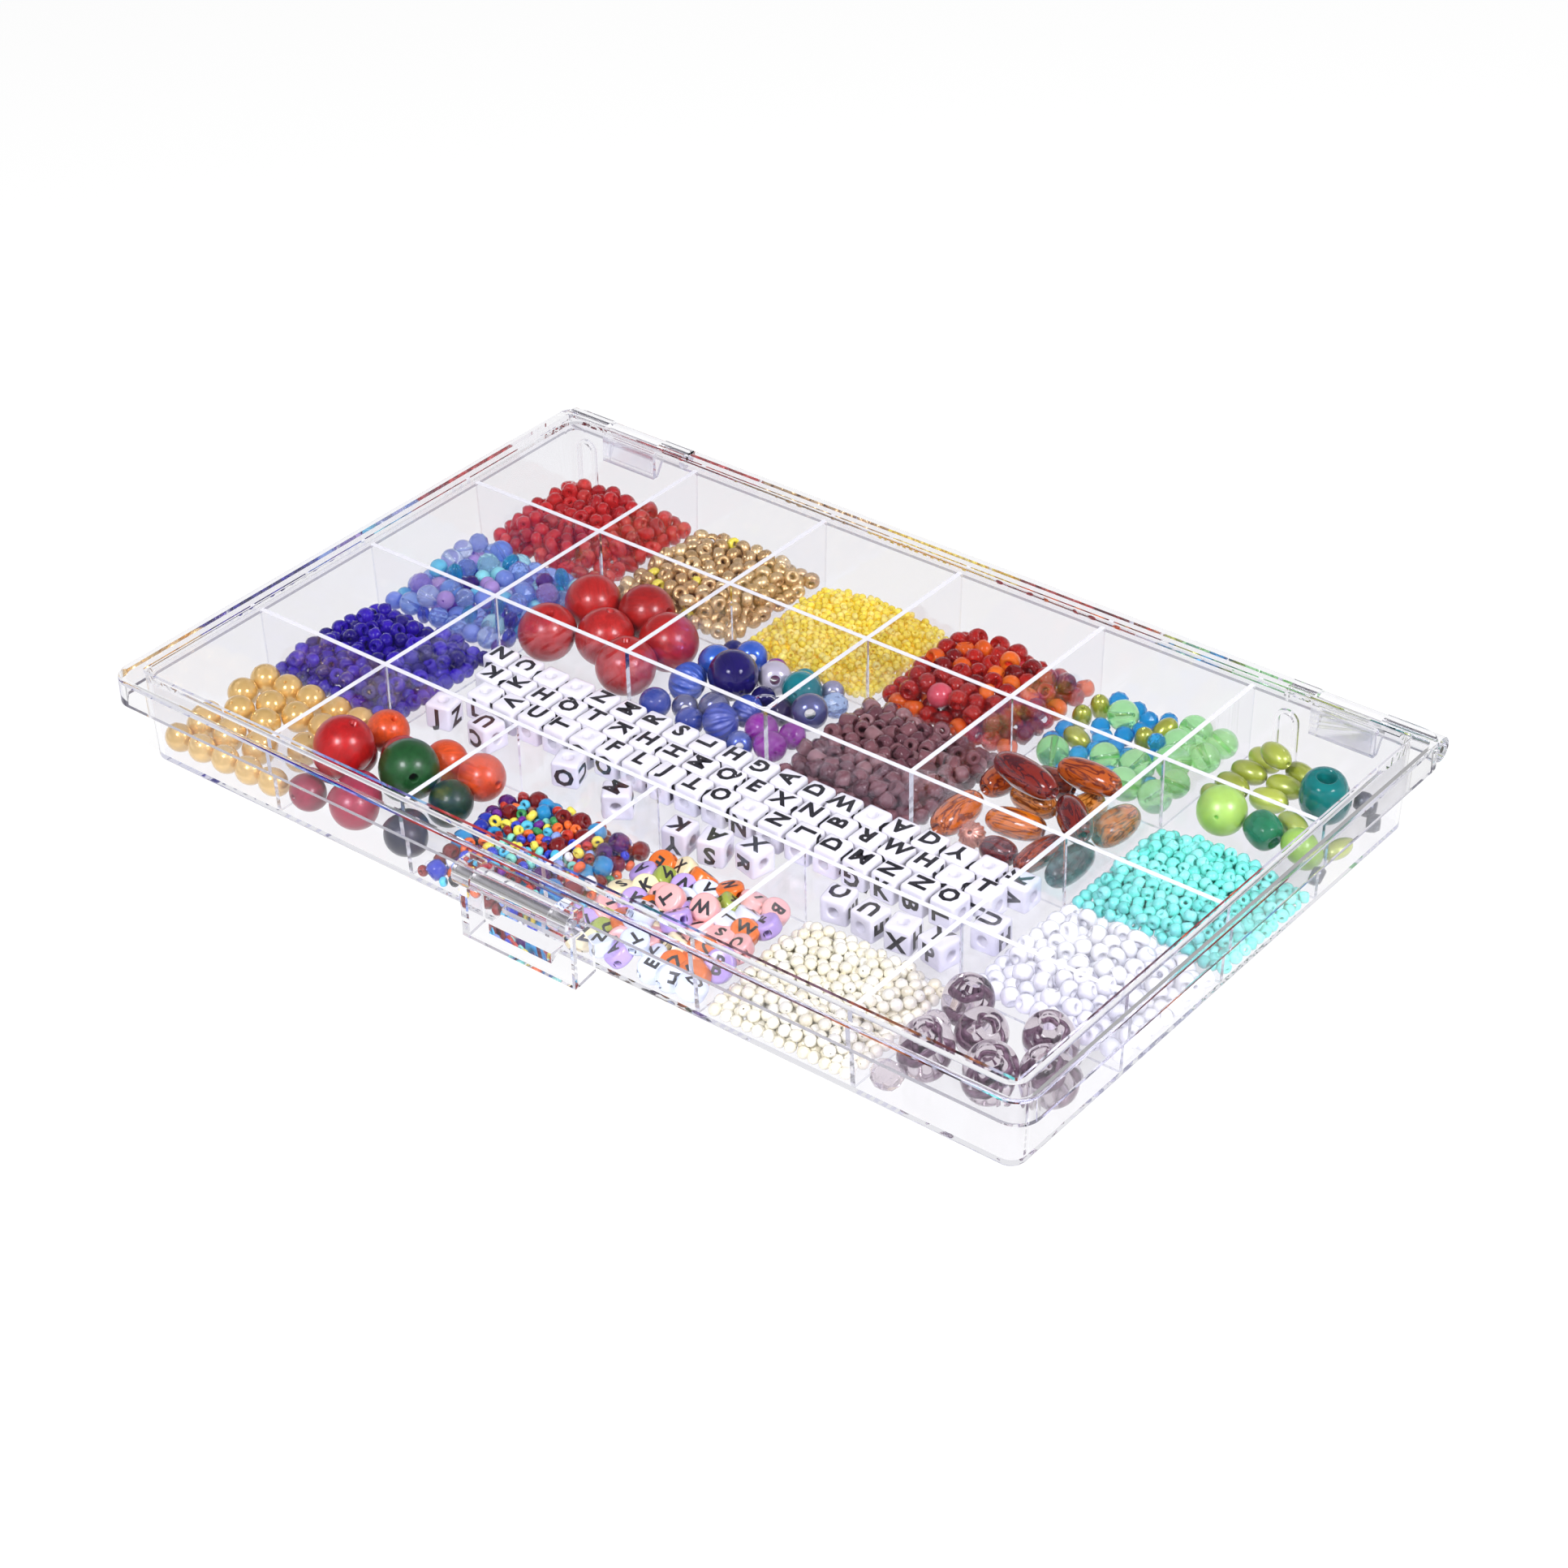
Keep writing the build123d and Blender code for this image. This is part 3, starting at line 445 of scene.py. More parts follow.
def white_acrylic():
    """Injection-moulded white acrylic: light enters its corners, and the faces have a satin gloss."""
    material, tree = new_material("white_acrylic")
    tint = bead_tint(tree, 0.02)
    body = add_node(tree, "ShaderNodeBsdfPrincipled", {
        "Base Color": tint, "Roughness": 0.22, "IOR": 1.49, "Coat Weight": 0.25, "Coat Roughness": 0.08})
    finish_material(tree, body.outputs[0])
    return material


def letter_ink(beads):
    """Hot-stamped ink in the letters: black, and a little duller than the acrylic."""
    material, tree = new_material("stamped_ink")
    patchy = noise(tree, 0.8 * MM, 3.0)
    rough = add_node(tree, "ShaderNodeMapRange", {"Value": patchy.outputs["Fac"], "To Min": 0.3,
                                                  "To Max": 0.6})
    ink = add_node(tree, "ShaderNodeBsdfPrincipled", {"Base Color": (*beads.ink, 1),
                                                      "Roughness": rough.outputs[0]})
    finish_material(tree, ink.outputs[0])
    return material


# ---------------------------------------------------------------- bead shapes, one unit across
def turned(name, outline, steps):
    """A solid of revolution about Z from a closed outline of (radius, height) points."""
    verts, faces = [], []
    count = len(outline)
    for step in range(steps):
        angle = 2 * math.pi * step / steps
        verts += [(r * math.cos(angle), r * math.sin(angle), z) for r, z in outline]
    for step in range(steps):
        here, there = step * count, (step + 1) % steps * count
        for k in range(count):
            nxt = (k + 1) % count
            faces.append((here + k, there + k, there + nxt, here + nxt))
    mesh = bpy.data.meshes.new(name)
    mesh.from_pydata(verts, [], faces)
    return tidy_mesh(mesh)


def tidy_mesh(mesh):
    """Merge doubles, point the faces outwards and shade them smooth."""
    work = bmesh.new()
    work.from_mesh(mesh)
    bmesh.ops.remove_doubles(work, verts=work.verts, dist=1e-7)
    bmesh.ops.recalc_face_normals(work, faces=work.faces)
    work.to_mesh(mesh)
    work.free()
    mesh.shade_smooth()
    return mesh


def bored_outline(profile, bore, waist=3):
    """Close an outer profile (from its top to its bottom rim) with a straight bore."""
    top, bottom = profile[0][1], profile[-1][1]
    inner = [(bore, bottom + (top - bottom) * k / waist) for k in range(waist + 1)]
    return profile + inner


def ball_profile(bore, points, flat=1.0, power=1.0):
    """Outer profile of a round bead between the rims of its bore; power above 1 makes it a barrel."""
    start = math.asin(min(0.98, bore * 2))
    profile = []
    for k in range(points):
        angle = start + (math.pi - 2 * start) * k / (points - 1)
        radius = 0.5 * math.sin(angle) ** (1 / power)
        profile.append((radius, 0.5 * flat * math.cos(angle)))
    return profile


def round_bead(name, bore=0.07, steps=28, points=14, flat=1.0, power=1.0):
    """A round or barrel bead with its bore along Z."""
    profile = ball_profile(bore, points, flat, power)
    return turned(name, bored_outline(profile, profile[0][0] * 0.92), steps)


def ring_bead(name, bore=0.17, height=0.6, steps=12):
    """A seed bead: a fat ring."""
    h = height / 2
    outline = [(bore + 0.04, h * 0.92), (0.36, h), (0.48, h * 0.5), (0.5, 0.0), (0.48, -h * 0.5), (0.36, -h),
               (bore + 0.04, -h * 0.92), (bore, 0.0)]
    return turned(name, outline, steps)


def drop_bead(name):
    """A drop: a ring bead pulled out to one side, so that its bore lies near its thin end."""
    mesh = ring_bead(name, 0.1, 0.7, 10)
    for vertex in mesh.vertices:
        reach = max(0.0, vertex.co.x)
        vertex.co.x += 0.75 * reach
        vertex.co.y *= 1 - 0.1 * reach
        vertex.co.x -= 0.15
    return mesh


def tube_bead(name):
    """A cut tube with a wide bore."""
    h = 0.425
    outline = [(0.25, h), (0.4, h), (0.47, h * 0.8), (0.47, -h * 0.8), (0.4, -h), (0.25, -h)]
    return turned(name, outline, 10)


def facet_bead(name):
    """A fire-polished bead: facets over a round body."""
    mesh = bpy.data.meshes.new(name)
    work = bmesh.new()
    bmesh.ops.create_icosphere(work, subdivisions=2, radius=0.5)
    work.to_mesh(mesh)
    work.free()
    mesh.shade_flat()
    return mesh


def oval_shape(name, bore=0.1, slim=0.62, steps=20, points=14, power=1.15):
    """A rice or olive bead along X, one unit long."""
    profile = [(r * slim, z) for r, z in ball_profile(bore, points, 1.0, power)]
    mesh = turned(name, bored_outline(profile, profile[0][0] * 0.9), steps)
    mesh.transform(Matrix.Rotation(math.pi / 2, 4, "Y"))
    return mesh


def melon_bead(name):
    """A ribbed round bead: its wall swells and sinks round the bore."""
    mesh = round_bead(name, 0.1, 60, 12, 0.9)
    ribs, depth = 15, 0.07
    for vertex in mesh.vertices:
        across = math.hypot(vertex.co.x, vertex.co.y)
        if across > 0.12:
            wave = 1 + depth * math.cos(ribs * math.atan2(vertex.co.y, vertex.co.x))
            vertex.co.x *= wave / (1 + depth)
            vertex.co.y *= wave / (1 + depth)
    return mesh


def wound_thread(name, turns):
    """A flattened thread of glass wound round the bore from end to end, closed at both ends."""
    verts, faces = [], []
    steps = 72
    section = [(0.0, 0.085), (0.03, 0.045), (0.03, -0.045), (0.0, -0.085), (-0.03, -0.045), (-0.03, 0.045)]
    for step in range(steps + 1):
        share = step / steps
        angle = 2 * math.pi * turns * share
        swell = 0.18 + 0.09 * math.sin(math.pi * share) + 0.02 * math.sin(5 * angle)
        for out, rise in section:
            verts.append(((swell + out) * math.cos(angle), (swell + out) * math.sin(angle),
                          -0.34 + 0.68 * share + rise))
    count = len(section)
    for step in range(steps):
        for k in range(count):
            here, nxt = step * count + k, step * count + (k + 1) % count
            faces.append((here, nxt, nxt + count, here + count))
    faces.append(tuple(reversed(range(count))))
    faces.append(tuple(range(steps * count, steps * count + count)))
    mesh = bpy.data.meshes.new(name)
    mesh.from_pydata(verts, [], faces)
    return tidy_mesh(mesh)


def bored_block(name, half, corner, bore, axis, thick=1.0, round_disc=False):
    """A rounded cube, or a disc with a rounded edge, with a bore cut through along one axis."""
    work = bmesh.new()
    if round_disc:
        bmesh.ops.create_cone(work, segments=28, radius1=half, radius2=half, depth=thick, cap_ends=True)
        rim = [edge for edge in work.edges if edge.is_manifold and edge.calc_face_angle(0) > 1]
        bmesh.ops.bevel(work, geom=rim, offset=corner, segments=3, profile=0.5, affect="EDGES")
    else:
        bmesh.ops.create_cube(work, size=2 * half)
        bmesh.ops.bevel(work, geom=work.edges[:], offset=corner, segments=3, profile=0.5, affect="EDGES")
    body = bpy.data.meshes.new(name)
    work.to_mesh(body)
    work.clear()
    bmesh.ops.create_cone(work, segments=20, radius1=bore, radius2=bore, depth=4 * half, cap_ends=True)
    drill = bpy.data.meshes.new(name + "_drill")
    work.to_mesh(drill)
    work.free()
    if axis == "X":
        drill.transform(Matrix.Rotation(math.pi / 2, 4, "Y"))
    block, tool = (bpy.data.objects.new(mesh.name, mesh) for mesh in (body, drill))
    for piece in (block, tool):
        bpy.context.scene.collection.objects.link(piece)
    cut = block.modifiers.new("Bore", "BOOLEAN")
    cut.object, cut.operation, cut.solver = tool, "DIFFERENCE", "EXACT"
    lip = block.modifiers.new("Lip", "BEVEL")
    lip.width, lip.segments, lip.limit_method, lip.angle_limit = 0.035, 2, "ANGLE", math.radians(50)
    mesh = plain_mesh(block)
    for piece in (block, tool):
        bpy.data.objects.remove(piece)
    mesh.shade_smooth()
    return mesh


def plain_mesh(piece):
    """The evaluated shape of an object as a mesh of its own."""
    graph = bpy.context.evaluated_depsgraph_get()
    return bpy.data.meshes.new_from_object(piece.evaluated_get(graph), preserve_all_data_layers=True,
                                           depsgraph=graph)


def letter_shapes():
    """The capital letters as thin solids on a font size of one unit, lying in the XY plane."""
    shapes = []
    for letter in "ABCDEFGHIJKLMNOPQRSTUVWXYZ":
        text = bpy.data.curves.new(f"letter_{letter}", "FONT")
        text.body = letter
        text.size, text.offset, text.resolution_u = 1.0, 0.04, 2
        text.extrude = LETTER_THICKNESS / 2
        text.align_x, text.align_y = "CENTER", "CENTER"
        piece = bpy.data.objects.new(text.name, text)
        bpy.context.scene.collection.objects.link(piece)
        mesh = plain_mesh(piece)
        bpy.data.objects.remove(piece)
        shapes.append(mesh)
    return shapes


# ---------------------------------------------------------------- copies of a shape on points
def spread_tree():
    """Geometry Nodes: a copy of a shape on each point, by the point's own turn, size and shape number."""
    found = bpy.data.node_groups.get("bead_spread")
    if found:
        return found
    tree = bpy.data.node_groups.new("bead_spread", "GeometryNodeTree")
    for name, kind in (("Points", "NodeSocketGeometry"), ("Shapes", "NodeSocketCollection"),
                       ("Size", "NodeSocketFloat"), ("Finish", "NodeSocketMaterial")):
        tree.interface.new_socket(name, in_out="INPUT", socket_type=kind)
    tree.interface.new_socket("Beads", in_out="OUTPUT", socket_type="NodeSocketGeometry")
    given = add_node(tree, "NodeGroupInput")
    turn = add_node(tree, "GeometryNodeInputNamedAttribute", {"Name": "turn"}, data_type="FLOAT_VECTOR")
    grow = add_node(tree, "GeometryNodeInputNamedAttribute", {"Name": "grow"}, data_type="FLOAT_VECTOR")
    pick = add_node(tree, "GeometryNodeInputNamedAttribute", {"Name": "pick"}, data_type="INT")
    shapes = add_node(tree, "GeometryNodeCollectionInfo", {
        "Collection": given.outputs["Shapes"], "Separate Children": True, "Reset Children": True})
    size = add_node(tree, "ShaderNodeVectorMath", {0: grow.outputs["Attribute"],
                                                   "Scale": given.outputs["Size"]},
                    operation="SCALE")
    copies = add_node(tree, "GeometryNodeInstanceOnPoints", {
        "Points": given.outputs["Points"], "Instance": shapes.outputs["Instances"], "Pick Instance": True,
        "Instance Index": pick.outputs["Attribute"], "Rotation": turn.outputs["Attribute"],
        "Scale": size.outputs["Vector"]})
    real = add_node(tree, "GeometryNodeRealizeInstances", {"Geometry": copies.outputs["Instances"]})
    finish = add_node(tree, "GeometryNodeSetMaterial", {
        "Geometry": real.outputs["Geometry"], "Material": given.outputs["Finish"]})
    add_node(tree, "NodeGroupOutput", {"Beads": finish.outputs["Geometry"]})
    return tree


def spread(name, shapes, finish, places, turns, sizes, picks, tints):
    """Set copies of shapes at places and return them as one plain object."""
    points = bpy.data.meshes.new(name)
    points.from_pydata([tuple(place) for place in places], [], [])
    for label, kind, values, field in (("turn", "FLOAT_VECTOR", turns, "vector"),
                                       ("grow", "FLOAT_VECTOR", sizes, "vector"),
                                       ("pick", "INT", picks, "value"),
                                       ("tint", "FLOAT_COLOR", tints, "color")):
        layer = points.attributes.new(label, kind, "POINT")
        layer.data.foreach_set(field, np.array(values).ravel())
    group = bpy.data.collections.new(name + "_shapes")
    for number, shape in enumerate(shapes):
        if "own" not in shape.attributes:
            mark_own_place(shape)
        group.objects.link(bpy.data.objects.new(f"{number:02d}_{name}_shape", shape))
    piece = bpy.data.objects.new(name, points)
    bpy.context.scene.collection.objects.link(piece)
    tree = spread_tree()
    modifier = piece.modifiers.new("Spread", "NODES")
    modifier.node_group = tree
    given = {"Shapes": group, "Size": 1.0, "Finish": finish}
    for socket in tree.interface.items_tree:
        if socket.in_out == "INPUT" and socket.name in given:
            modifier[socket.identifier] = given[socket.name]
    mesh = plain_mesh(piece)
    piece.modifiers.clear()
    piece.data = mesh
    for shape in list(group.objects):
        bpy.data.objects.remove(shape)
    bpy.data.collections.remove(group)
    for label in ("turn", "grow", "pick"):
        if label in mesh.attributes:
            mesh.attributes.remove(mesh.attributes[label])
    if len(mesh.polygons) == 0:
        raise RuntimeError(f"{name} came out empty")
    return piece


def spread_rows(name, shape, finish, rows):
    """Set copies of one shape at rows of (middle, turn, size, tint)."""
    middles, turns, sizes, tints = zip(*rows)
    return spread(name, [shape], finish, middles, turns, sizes, [0] * len(rows), tints)


def join(name, pieces):
    """Join objects into the first, and give it the fill's name."""
    if len(pieces) > 1:
        with bpy.context.temp_override(active_object=pieces[0], selected_editable_objects=pieces):
            bpy.ops.object.join()
    pieces[0].name = name
    return pieces[0]


def stand_for(piece, node):
    """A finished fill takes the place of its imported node."""
    piece.name = node.replace("fill_", "beads_")
    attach(piece, TRAY)
    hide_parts(node)


# ---------------------------------------------------------------- places of beads
def node_islands(node):
    """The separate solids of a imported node: an array of corner points for each."""
    work = bmesh.new()
    work.from_mesh(frame["nodes"][node].data)
    bmesh.ops.remove_doubles(work, verts=work.verts, dist=1e-6)
    seen, found = set(), []
    for start in work.verts:
        if start in seen:
            continue
        seen.add(start)
        stack, island = [start], []
        while stack:
            vertex = stack.pop()
            island.append(tuple(vertex.co))
            for edge in vertex.link_edges:
                other = edge.other_vert(vertex)
                if other not in seen:
                    seen.add(other)
                    stack.append(other)
        found.append(np.array(island))
    work.free()
    return sorted(found, key=lambda points: (round(points.mean(0)[0], 4), round(points.mean(0)[1], 4)))


def island_frame(points):
    """Middle, heading of the long side, and size along and across it, of one solid."""
    low, high = points.min(0), points.max(0)
    middle = (low + high) / 2
    flat = points[:, :2] - middle[:2]
    _, axes = np.linalg.eigh(flat.T @ flat)
    along = axes[:, 1]
    heading = math.atan2(along[1], along[0])
    length = np.ptp(flat @ along)
    return middle, heading, length, high[2] - low[2]


def cube_heading(points):
    """Heading of a cube's face, from two neighbouring corners of its top."""
    top = points[points[:, 2] > points[:, 2].mean()][:, :2]
    gaps = np.linalg.norm(top - top[0], axis=1)
    gaps[gaps < 1e-6] = 9
    near = top[int(np.argmin(gaps))] - top[0]
    return math.atan2(near[1], near[0]) % (math.pi / 2)


def compartment_middle(column, row):
    """Middle of a compartment in metres, with columns counted from the left and rows from the front."""
    return (column - 2.5) * COLUMN_PITCH, (row - 1.5) * ROW_PITCH


def close_pairs(places, reach):
    """Index pairs of beads whose middles are nearer than the sum of their reaches."""
    gaps = places[:, None, :] - places[None, :, :]
    near = (gaps ** 2).sum(2) < (reach[:, None] + reach[None, :]) ** 2
    return np.argwhere(np.triu(near, 1))


def settle(low, high, edge, radii, seed, margin):
    """Let small beads sink into a heap with upright sides up to its edge and sloping sides above it.

    low and high are the corners of the compartment's fill. The beads end up apart, or a hair into
    each other.
    """
    pick = np.random.default_rng(seed)
    count, turns = len(radii), 240
    fall, creep, give = 0.10, 0.02, 0.42    # sinking in radii a turn, and share of an overlap undone
    middle, half = (low + high) / 2, (high - low) / 2 + margin
    places = np.column_stack([
        middle[0] + pick.uniform(-0.8, 0.8, count) * half[0],
        middle[1] + pick.uniform(-0.8, 0.8, count) * half[1],
        low[2] + pick.uniform(0.2, 2.2, count) * (high[2] - low[2])])
    pairs = np.zeros((0, 2), int)
    for turn in range(turns):
        places[:, 2] -= radii * (fall if turn < 0.6 * turns else creep)
        if turn % 8 == 0:
            pairs = close_pairs(places, radii * 1.3)
        a, b = pairs[:, 0], pairs[:, 1]
        away = places[b] - places[a]
        distance = np.maximum(np.linalg.norm(away, axis=1), 1e-9)
        overlap = np.maximum(0.0, radii[a] + radii[b] - distance)
        push = away / distance[:, None] * (give * overlap)[:, None]
        np.add.at(places, a, -push)
        np.add.at(places, b, push)
        inset = np.maximum(0.0, places[:, 2] - low[2] - edge) * HEAP_SLOPE
        for axis in (0, 1):
            room = np.maximum(radii, half[axis] - radii - inset)
            places[:, axis] = np.clip(places[:, axis], middle[axis] - room, middle[axis] + room)
        ceiling = high[2] - radii + (1 - min(1.0, turn / (0.5 * turns))) * 1.2 * (high[2] - low[2])
        places[:, 2] = np.clip(places[:, 2], low[2] + radii, ceiling)
    return places


def palette(pick, colours):
    """One colour by weight from {hex: weight}."""
    return linear(pick.choices(list(colours), list(colours.values()))[0])


def any_turn(pick):
    """A random turn in space, as Euler angles."""
    return (pick.uniform(0, 2 * math.pi), math.acos(pick.uniform(-1, 1)), pick.uniform(0, 2 * math.pi))


def heap(node, edge, kinds, seed, room=1.0):
    """Fill a compartment with a heap of small beads.

    kinds is a list of (share, diameter range in mm, shapes, finish, colours, packed radius as a
    share of the shape's). room is the share of the heap that is filled.
    """
    pick = random.Random(seed)
    low, high = (np.array(corner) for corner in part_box(node))
    size = high - low
    mound = size[2] - edge * MM
    shrink = HEAP_SLOPE * mound * 2
    crown = sum((size[0] - shrink * k) * (size[1] - shrink * k) for k in (0.1, 0.3, 0.5, 0.7, 0.9)) / 5
    volume = (size[0] * size[1] * edge * MM + crown * mound) * HEAP_PACKING * room
    beads, taken = [], 0.0
    while taken < volume:
        number = pick.choices(range(len(kinds)), [kind[0] for kind in kinds])[0]
        diameter = pick.uniform(*kinds[number][1]) * MM
        radius = diameter / 2 * kinds[number][5]
        taken += 4 / 3 * math.pi * radius ** 3
        beads.append((number, diameter, radius))
    places = settle(low, high, edge * MM, np.array([bead[2] for bead in beads]), seed, 0.8 * MM)
    pieces = []
    for number, (_, _, shapes, finish, colours, _) in enumerate(kinds):
        chosen = [i for i, bead in enumerate(beads) if bead[0] == number]
        if not chosen:
            continue
        pieces.append(spread(
            f"{node}_{number}", shapes, finish, places[chosen], [any_turn(pick) for _ in chosen],
            [(beads[i][1],) * 3 for i in chosen], [pick.randrange(len(shapes)) for _ in chosen],
            [palette(pick, colours) for _ in chosen]))
    stand_for(join(node, pieces), node)


def toward(direction, spin=0.0):
    """Euler angles that turn Z to a direction, after a spin about Z."""
    turn = Vector(direction).to_track_quat("Z", "Y").to_matrix() @ Matrix.Rotation(spin, 3, "Z")
    return tuple(turn.to_euler())


# ---------------------------------------------------------------- operators
class Piece(bpy.types.Operator):
    """What the operators share: each makes its piece from the scene's settings."""
    bl_options = {"REGISTER", "UNDO"}

    def execute(self, context):
        """Make the piece."""
        self.make(context.scene.bead_box, context.scene.bead_beads, context.scene.bead_stage)
        return {"FINISHED"}


class BEADS_OT_box(Piece):
    """Give the tray, dividers, hinges, lid and latch their clear plastic, and the pins their steel"""
    bl_idname = "beads.box"
    bl_label = "Clear box"

    def make(self, box, beads, stage):
        finishes = ((CLEAR_NODES, clear_styrene(box)),
                    (ROW_DIVIDERS, clear_styrene(box, "clear_row_divider", "X")),
                    (COLUMN_DIVIDERS, clear_styrene(box, "clear_column_divider", "Y")),
                    (PIN_NODES, brushed_steel()))
        for names, finish in finishes:
            for name in names:
                mesh = frame["nodes"][name].data
                mesh.materials.clear()
                mesh.materials.append(finish)


class BEADS_OT_seed_heaps(Piece):
    """Heaps of seed beads, small pearls and small glass beads"""
    bl_idname = "beads.seed_heaps"
    bl_label = "Seed bead heaps"

    def make(self, box, beads, stage):
        ring, fat = ring_bead("ring"), ring_bead("fat_ring", 0.14, 0.78)
        opaque, cloudy = opaque_glass(), tinted_glass("milky_glass", 0.5)
        seed, pearl = beads.seed / MM, beads.pearl_seed / MM
        heap("fill_coral_drops", 5.0, [
            (1, (3.9, 4.5), [drop_bead("drop")], cloudy,
             {"#dc302e": 5, "#c8282a": 3, "#e24a42": 1}, 1.06)], 11)
        heap("fill_bronze_rings", 4.5, [
            (30, (4.2, 4.7), [ring_bead("bronze_ring", 0.15, 0.66, 16)], bronze_lustre(),
             {"#c8a87a": 3, "#bd9a68": 2, "#d8bc8c": 2}, 0.92),
            (1, (3.4, 3.8), [ring], opaque, {"#e8d84a": 1}, 0.95)], 12)
        heap("fill_yellow_seeds", 3.0, [
            (1, (seed * 0.94, seed * 1.08), [ring_bead("tiny", 0.16, 0.7, 8)],
             tinted_glass("lustred_glass", 0.45), {"#fdf068": 4, "#fdf28e": 3, "#f4e44c": 2}, 0.94)], 13)
        pony = ring_bead("pony", 0.18, 0.72, 16)
        heap("fill_red_orange_ponies", 5.5, [
            (70, (5.0, 5.5), [pony], tinted_glass("ruby_glass", 0.6),
             {"#c4200f": 5, "#d42c18": 3, "#9c120a": 2}, 0.92),
            (24, (5.0, 5.5), [pony], tinted_glass("orange_glass", 0.4), {"#f07a1c": 3, "#e86814": 1}, 0.92),
            (1, (6.4, 7.0), [round_bead("pink_round")], opaque, {"#d04a58": 1}, 1.0)], 14)
        heap("fill_amethyst_tubes", 5.0, [
            (3, (4.1, 4.7), [fat, tube_bead("cut_tube")], tinted_glass("amethyst_glass", 0.5),
             {"#98656a": 3, "#825058": 3, "#b28688": 1}, 0.94)], 15)
        heap("fill_turquoise_seeds", 3.5, [
            (1, (3.0, 3.4), [ring_bead("turquoise_ring", 0.14, 0.75, 10)], opaque,
             {"#7ee8d8": 4, "#92eee2": 3, "#6cdccc": 2}, 0.95)], 16)
        heap("fill_indigo_seeds", 4.5, [
            (1, (3.9, 4.5), [fat], tinted_glass("indigo_glass", 0.5),
             {"#3210b4": 4, "#4420cc": 2, "#240a8c": 2}, 0.96)], 17)
        heap("fill_white_seeds", 4.5, [
            (1, (4.2, 4.9), [fat, drop_bead("white_drop")], chalk_glass(),
             {"#ffffff": 3, "#f8f9fa": 1}, 0.98)], 18)
        milky_ring = tinted_glass("mixed_clear_glass", 0.4)
        mixed = {"#ee6a20": 6, "#8e1512": 4, "#2c40c0": 3, "#6b1f8a": 2, "#4fc0e0": 4, "#86dcc6": 3,
                 "#f0e050": 4, "#f4f4f4": 2, "#2f8a4a": 1, "#181818": 1, "#8ea6e0": 2, "#c03018": 4,
                 "#8c5a3c": 1}
        heap("fill_rainbow_seeds", 3.5, [
            (9, (2.3, 3.2), [ring], opaque, mixed, 0.95),
            (2, (3.8, 5.2), [fat], milky_ring,
             {"#8e1512": 4, "#2c40c0": 1, "#5b1478": 1, "#2ea6d8": 2}, 0.98)], 19)
        heap("fill_ivory_pearls", 3.6, [
            (1, (pearl * 0.96, pearl * 1.06), [round_bead("small_pearl", 0.09, 14, 7)],
             pearl_coat("ivory_pearl", 0.1, 0.16), {"#f3eed8": 3, "#f7f4e4": 2, "#eee7cc": 1}, 1.0)], 20)


class BEADS_OT_glass_heaps(Piece):
    """The two mixes of larger glass beads: green with turquoise, and periwinkle"""
    bl_idname = "beads.glass_heaps"
    bl_label = "Glass mixes"

    def make(self, box, beads, stage):
        clear, milky = tinted_glass("clear_tint", 0.8), tinted_glass("milky_tint", 0.3)
        facet, ball = facet_bead("facet"), round_bead("glass_ball", 0.07, 20, 10)
        heap("fill_green_turquoise_rounds", 6.0, [
            (10, (7.6, 8.8), [ball], tinted_glass("green_glass", 0.85), {"#b4ecae": 3, "#a0e0a0": 2}, 1.0),
            (22, (4.6, 5.4), [facet], clear, {"#1f9fdc": 3, "#3cb4e6": 2}, 1.0),
            (4, (7.0, 7.8), [oval_shape("olive_oval", 0.1, 0.7)], pearl_coat("olive_pearl", 0.3),
             {"#9fa536": 1}, 0.9)], 21, room=0.8)
        heap("fill_periwinkle_mix", 6.0, [
            (9, (5.2, 6.6), [ball, facet], tinted_glass("periwinkle_glass", 0.75),
             {"#97b3ea": 4, "#b2c6ec": 3, "#c2a8de": 2, "#ced8f0": 2, "#b0e0ec": 2}, 1.0),
            (7, (4.2, 5.2), [ball], milky, {"#7e96dc": 2, "#b498d4": 2, "#70c6e0": 3, "#94dce4": 1}, 1.0),
            (3, (5.0, 6.0), [oval_shape("blue_oval", 0.1, 0.7)], clear, {"#4a5bc8": 1, "#38b4dc": 1}, 0.9),
            (1, (4.2, 5.0), [facet], clear, {"#5a2fa0": 1}, 1.0)], 22)


# Colour of each painted ball, by its place in mm on the tray.
PAINTED_BALLS = (
    (-82, -45, "#d84c12"), (-78, -51, "#b01418"), (-64, -45, "#d84c12"), (-51, -46, "#dc4c1c"),
    (-51, -57, "#12381f"), (-62, -60, "#124a1c"), (-80, -66, "#ae0a08"), (-80, -76, "#8e0434"),
    (-67, -74, "#a00838"), (-50, -75, "#0c1230"), (-78, -62, "#b01014"))
# Where the bore of the balls of a colour points; the others point up, more or less.
PAINTED_BORES = {"#ae0a08": (0.38, 0.18, 0.91), "#124a1c": (0.78, -0.57, 0.26),
                 "#dc4c1c": (0.98, -0.1, 0.1), "#8e0434": (-0.16, -0.98, 0.1)}
RED_BORES = ((0.3, -0.2, 0.93), (-0.4, 0.3, 0.2), (0.1, 0.2, 0.97), (0.9, 0.1, 0.3),
             (0.02, 0.03, 1.0), (-0.75, -0.3, 0.62))
RED_PAINTS = {"#b21e18": 3, "#a01812": 2}


